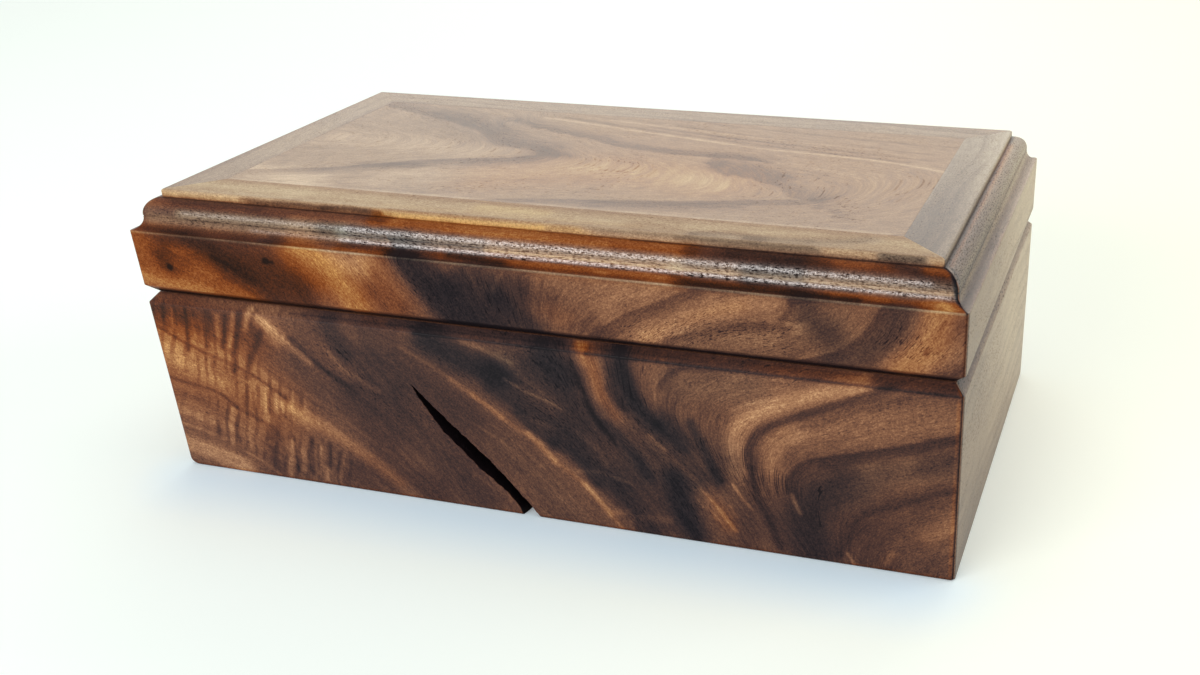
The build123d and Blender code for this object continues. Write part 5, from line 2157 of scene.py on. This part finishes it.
@dataclass
class Ironmongery:
    """The brass of the box: leaves, pins and screws."""

    hinges: HingeSet
    leaf_arris: float = 0.12
    pin_arris: float = 0.08
    flat_within: float = 2.0
    arris_over: float = 40.0
    sharp_over: float = 30.0

    def build(self) -> list[Piece]:
        """Dresses leaves and pins and sets the screws.

        Returns:
            The finished pieces.
        """
        leaf_brass = Brass("brass_hinge").material()
        pin_brass = Brass("brass_pin", colour=(0.56, 0.37, 0.15), roughness=0.22).material()
        screw_brass = Brass("brass_screws", colour=(0.66, 0.45, 0.19), roughness=0.24).material()
        pieces = []
        for side in ("left", "right"):
            for body in ("body", "lid"):
                node = f"hinge_{side}_{body}_leaf"
                pieces.append(self._eased(node, leaf_brass, "brass_hinge", body, self.leaf_arris))
            pieces.append(self._eased(f"hinge_{side}_pin", pin_brass, "brass_pin", "body", self.pin_arris))
        tree = ScrewTree()
        for body in ("body", "lid"):
            pieces.append(self._screws(body, tree, screw_brass))
        return pieces

    def _eased(self, node: str, brass: Material, slot: str, body: str, arris: float) -> Piece:
        """A copy of a metal node with its loose triangles merged and its arrises broken.

        Args:
            node: the CAD node.
            brass: its material.
            slot: its slot.
            body: what it rides on.
            arris: how wide the broken arrises are.

        Returns:
            The finished piece.
        """
        mesh = frame["nodes"][node].data.copy()
        mesh.transform(Matrix.Scale(1 / MM, 4))
        shell = bmesh.new()
        shell.from_mesh(mesh)
        bmesh.ops.remove_doubles(shell, verts=shell.verts, dist=CUT_MERGE)
        flat = {"angle_limit": math.radians(self.flat_within), "verts": shell.verts, "edges": shell.edges}
        bmesh.ops.dissolve_limit(shell, delimit={"NORMAL"}, **flat)
        bmesh.ops.recalc_face_normals(shell, faces=shell.faces)
        shell.to_mesh(mesh)
        shell.free()
        work = link_object(f"{node}_work", mesh)
        bevel = work.modifiers.new("arris", "BEVEL")
        bevel.width = arris
        bevel.segments = 2
        bevel.limit_method = "ANGLE"
        bevel.angle_limit = math.radians(self.arris_over)
        eased = evaluated_mesh(work)
        bpy.data.objects.remove(work)
        tidy_mesh(eased, CLOSE_MERGE, self.sharp_over)
        eased.transform(Matrix.Scale(MM, 4))
        return finished(f"{node}_brass", eased, brass, slot, body, node)

    def _screws(self, body: str, tree: ScrewTree, brass: Material) -> Piece:
        """All screws of one body as one mesh.

        Args:
            body: what they ride on.
            tree: the tree that sets them.
            brass: their material.

        Returns:
            The finished piece.
        """
        hinges = self.hinges
        sizes = hinges.sizes
        lid = body == "lid"
        inputs = {
            "Hinge Place": hinges.hinge_x,
            "Spacing": hinges.screw_spacing,
            "Row": sizes.depth / 2 - hinges.pin_inward - hinges.screw_row,
            "Stagger": hinges.screw_stagger,
            "Height": sizes.lid_z + 0.02 if lid else sizes.body_height - 0.02,
            "Way": -1.0 if lid else 1.0,
            "Turn": math.pi,
            "Count": 3,
            "Seed": 5 if lid else 3,
            "Finish": brass,
        }
        mesh = tree.run(f"{body}_screw", hinges.screw(), inputs)
        tidy_mesh(mesh, FINE_MERGE, METAL_SHARP_OVER)
        mesh.transform(Matrix.Scale(MM, 4))
        nodes = (f"hinge_left_{body}_screws", f"hinge_right_{body}_screws")
        return finished(f"hinge_{body}_screws_brass", mesh, brass, "brass_screws", body, *nodes)


@dataclass(frozen=True)
class Softbox:
    """A square lamp: where it is, where it looks, its sides and how bright its face is."""

    name: str
    place: tuple[float, float, float]
    width: float
    height: float
    brightness: float
    colour: Colour
    target: tuple[float, float, float] = (0.0, 0.0, 0.06)

    def build(self) -> Piece:
        """Adds the lamp.

        Returns:
            The lamp.
        """
        lamp = bpy.data.lights.new(self.name, "AREA")
        lamp.shape = "RECTANGLE"
        lamp.size = self.width
        lamp.size_y = self.height
        lamp.color = self.colour
        lamp.energy = self.brightness * math.pi * self.width * self.height
        piece = link_object(self.name, lamp)
        piece.location = self.place
        look = Vector(self.target) - Vector(self.place)
        piece.rotation_euler = look.to_track_quat("-Z", "Y").to_euler()
        return piece


@dataclass
class Studio:
    """Floor, soft light, pale surroundings and the camera."""

    floor_size: float = 12.0
    surround: float = 0.30
    surround_colour: Colour = (0.68, 0.91, 1.06)
    eye: tuple[float, float, float] = (0.20080, -0.43105, 0.24789)
    azimuth: float = 17.540
    elevation: float = 28.338
    roll: float = -1.2385
    focal_px: float = 1293.25
    centre_px: Point = (777.63, 426.13)
    image_px: Point = (1200.0, 675.0)
    sensor: float = 36.0

    def build(self) -> None:
        """Builds everything that isn't the box."""
        self._floor()
        self._world()
        lamps = (
            Softbox("window_softbox", (-0.89, -1.91, 0.69), 1.7, 0.95, 7.2, (1.015, 1.0, 0.985)),
            Softbox("back_softbox", (-0.30, 1.80, 1.05), 2.6, 1.2, 1.5, (1.0, 0.95, 0.84)),
            Softbox("ceiling_softbox", (0.1, 0.1, 2.2), 2.2, 2.2, 1.5, (1.0, 0.98, 0.95)),
            Softbox("side_softbox", (1.90, 0.60, 0.85), 1.5, 1.0, 3.3, (1.0, 1.0, 0.95)),
        )
        for lamp in lamps:
            lamp.build()
        self._camera()
        bpy.context.scene.view_settings.view_transform = "Standard"

    def _floor(self) -> None:
        """A wide floor just under the box."""
        half = self.floor_size / 2
        corners = [(-half, -half, 0), (half, -half, 0), (half, half, 0), (-half, half, 0)]
        mesh = mesh_from("floor", corners, [(0, 1, 2, 3)])
        mesh.materials.append(Tabletop().material())
        link_object("floor", mesh)

    def _world(self) -> None:
        """White to the camera and in reflections, dimmer as light."""
        world = bpy.data.worlds.new("surroundings")
        world.use_nodes = True
        graph = Graph(world.node_tree)
        light = {"Color": self.surround_colour, "Strength": self.surround}
        lit = graph.node("ShaderNodeBackground", light)
        white = graph.node("ShaderNodeBackground", {"Color": WHITE, "Strength": 1.0})
        both = graph.node("ShaderNodeMixShader", {0: seen_rays(graph), 1: lit, 2: white})
        graph.node("ShaderNodeOutputWorld", {"Surface": both})
        bpy.context.scene.world = world

    def _camera(self) -> None:
        """The camera, with the frame cut off centre as it was."""
        lens = bpy.data.cameras.new("camera")
        lens.sensor_fit = "HORIZONTAL"
        lens.sensor_width = self.sensor
        lens.lens = self.focal_px / self.image_px[0] * self.sensor
        lens.shift_x = 0.5 - self.centre_px[0] / self.image_px[0]
        lens.shift_y = (self.centre_px[1] - self.image_px[1] / 2) / self.image_px[0]
        lens.clip_start = 0.01
        camera = link_object("camera", lens)
        turn = Matrix.Rotation(math.radians(self.azimuth), 4, "Z")
        tilt = Matrix.Rotation(math.radians(90 - self.elevation), 4, "X")
        roll = Matrix.Rotation(math.radians(self.roll), 4, "Z")
        camera.matrix_world = Matrix.Translation(self.eye) @ turn @ tilt @ roll
        bpy.context.scene.camera = camera


def main() -> None:
    """Builds the box and its studio, and reports each piece."""
    logging.basicConfig(level=logging.INFO, format="%(name)s: %(message)s")
    sizes = BoxSizes.from_frame()
    sweep = SweepTree()
    parts = (Body(sizes, sweep), Lid(sizes, sweep), Ironmongery(HingeSet(sizes)))
    for piece in [piece for part in parts for piece in part.build()]:
        LOG.info("%s: %d faces, rides on %s", piece.name, len(piece.data.polygons), piece["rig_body"])
    Studio().build()


if __name__ == "__main__":
    main()
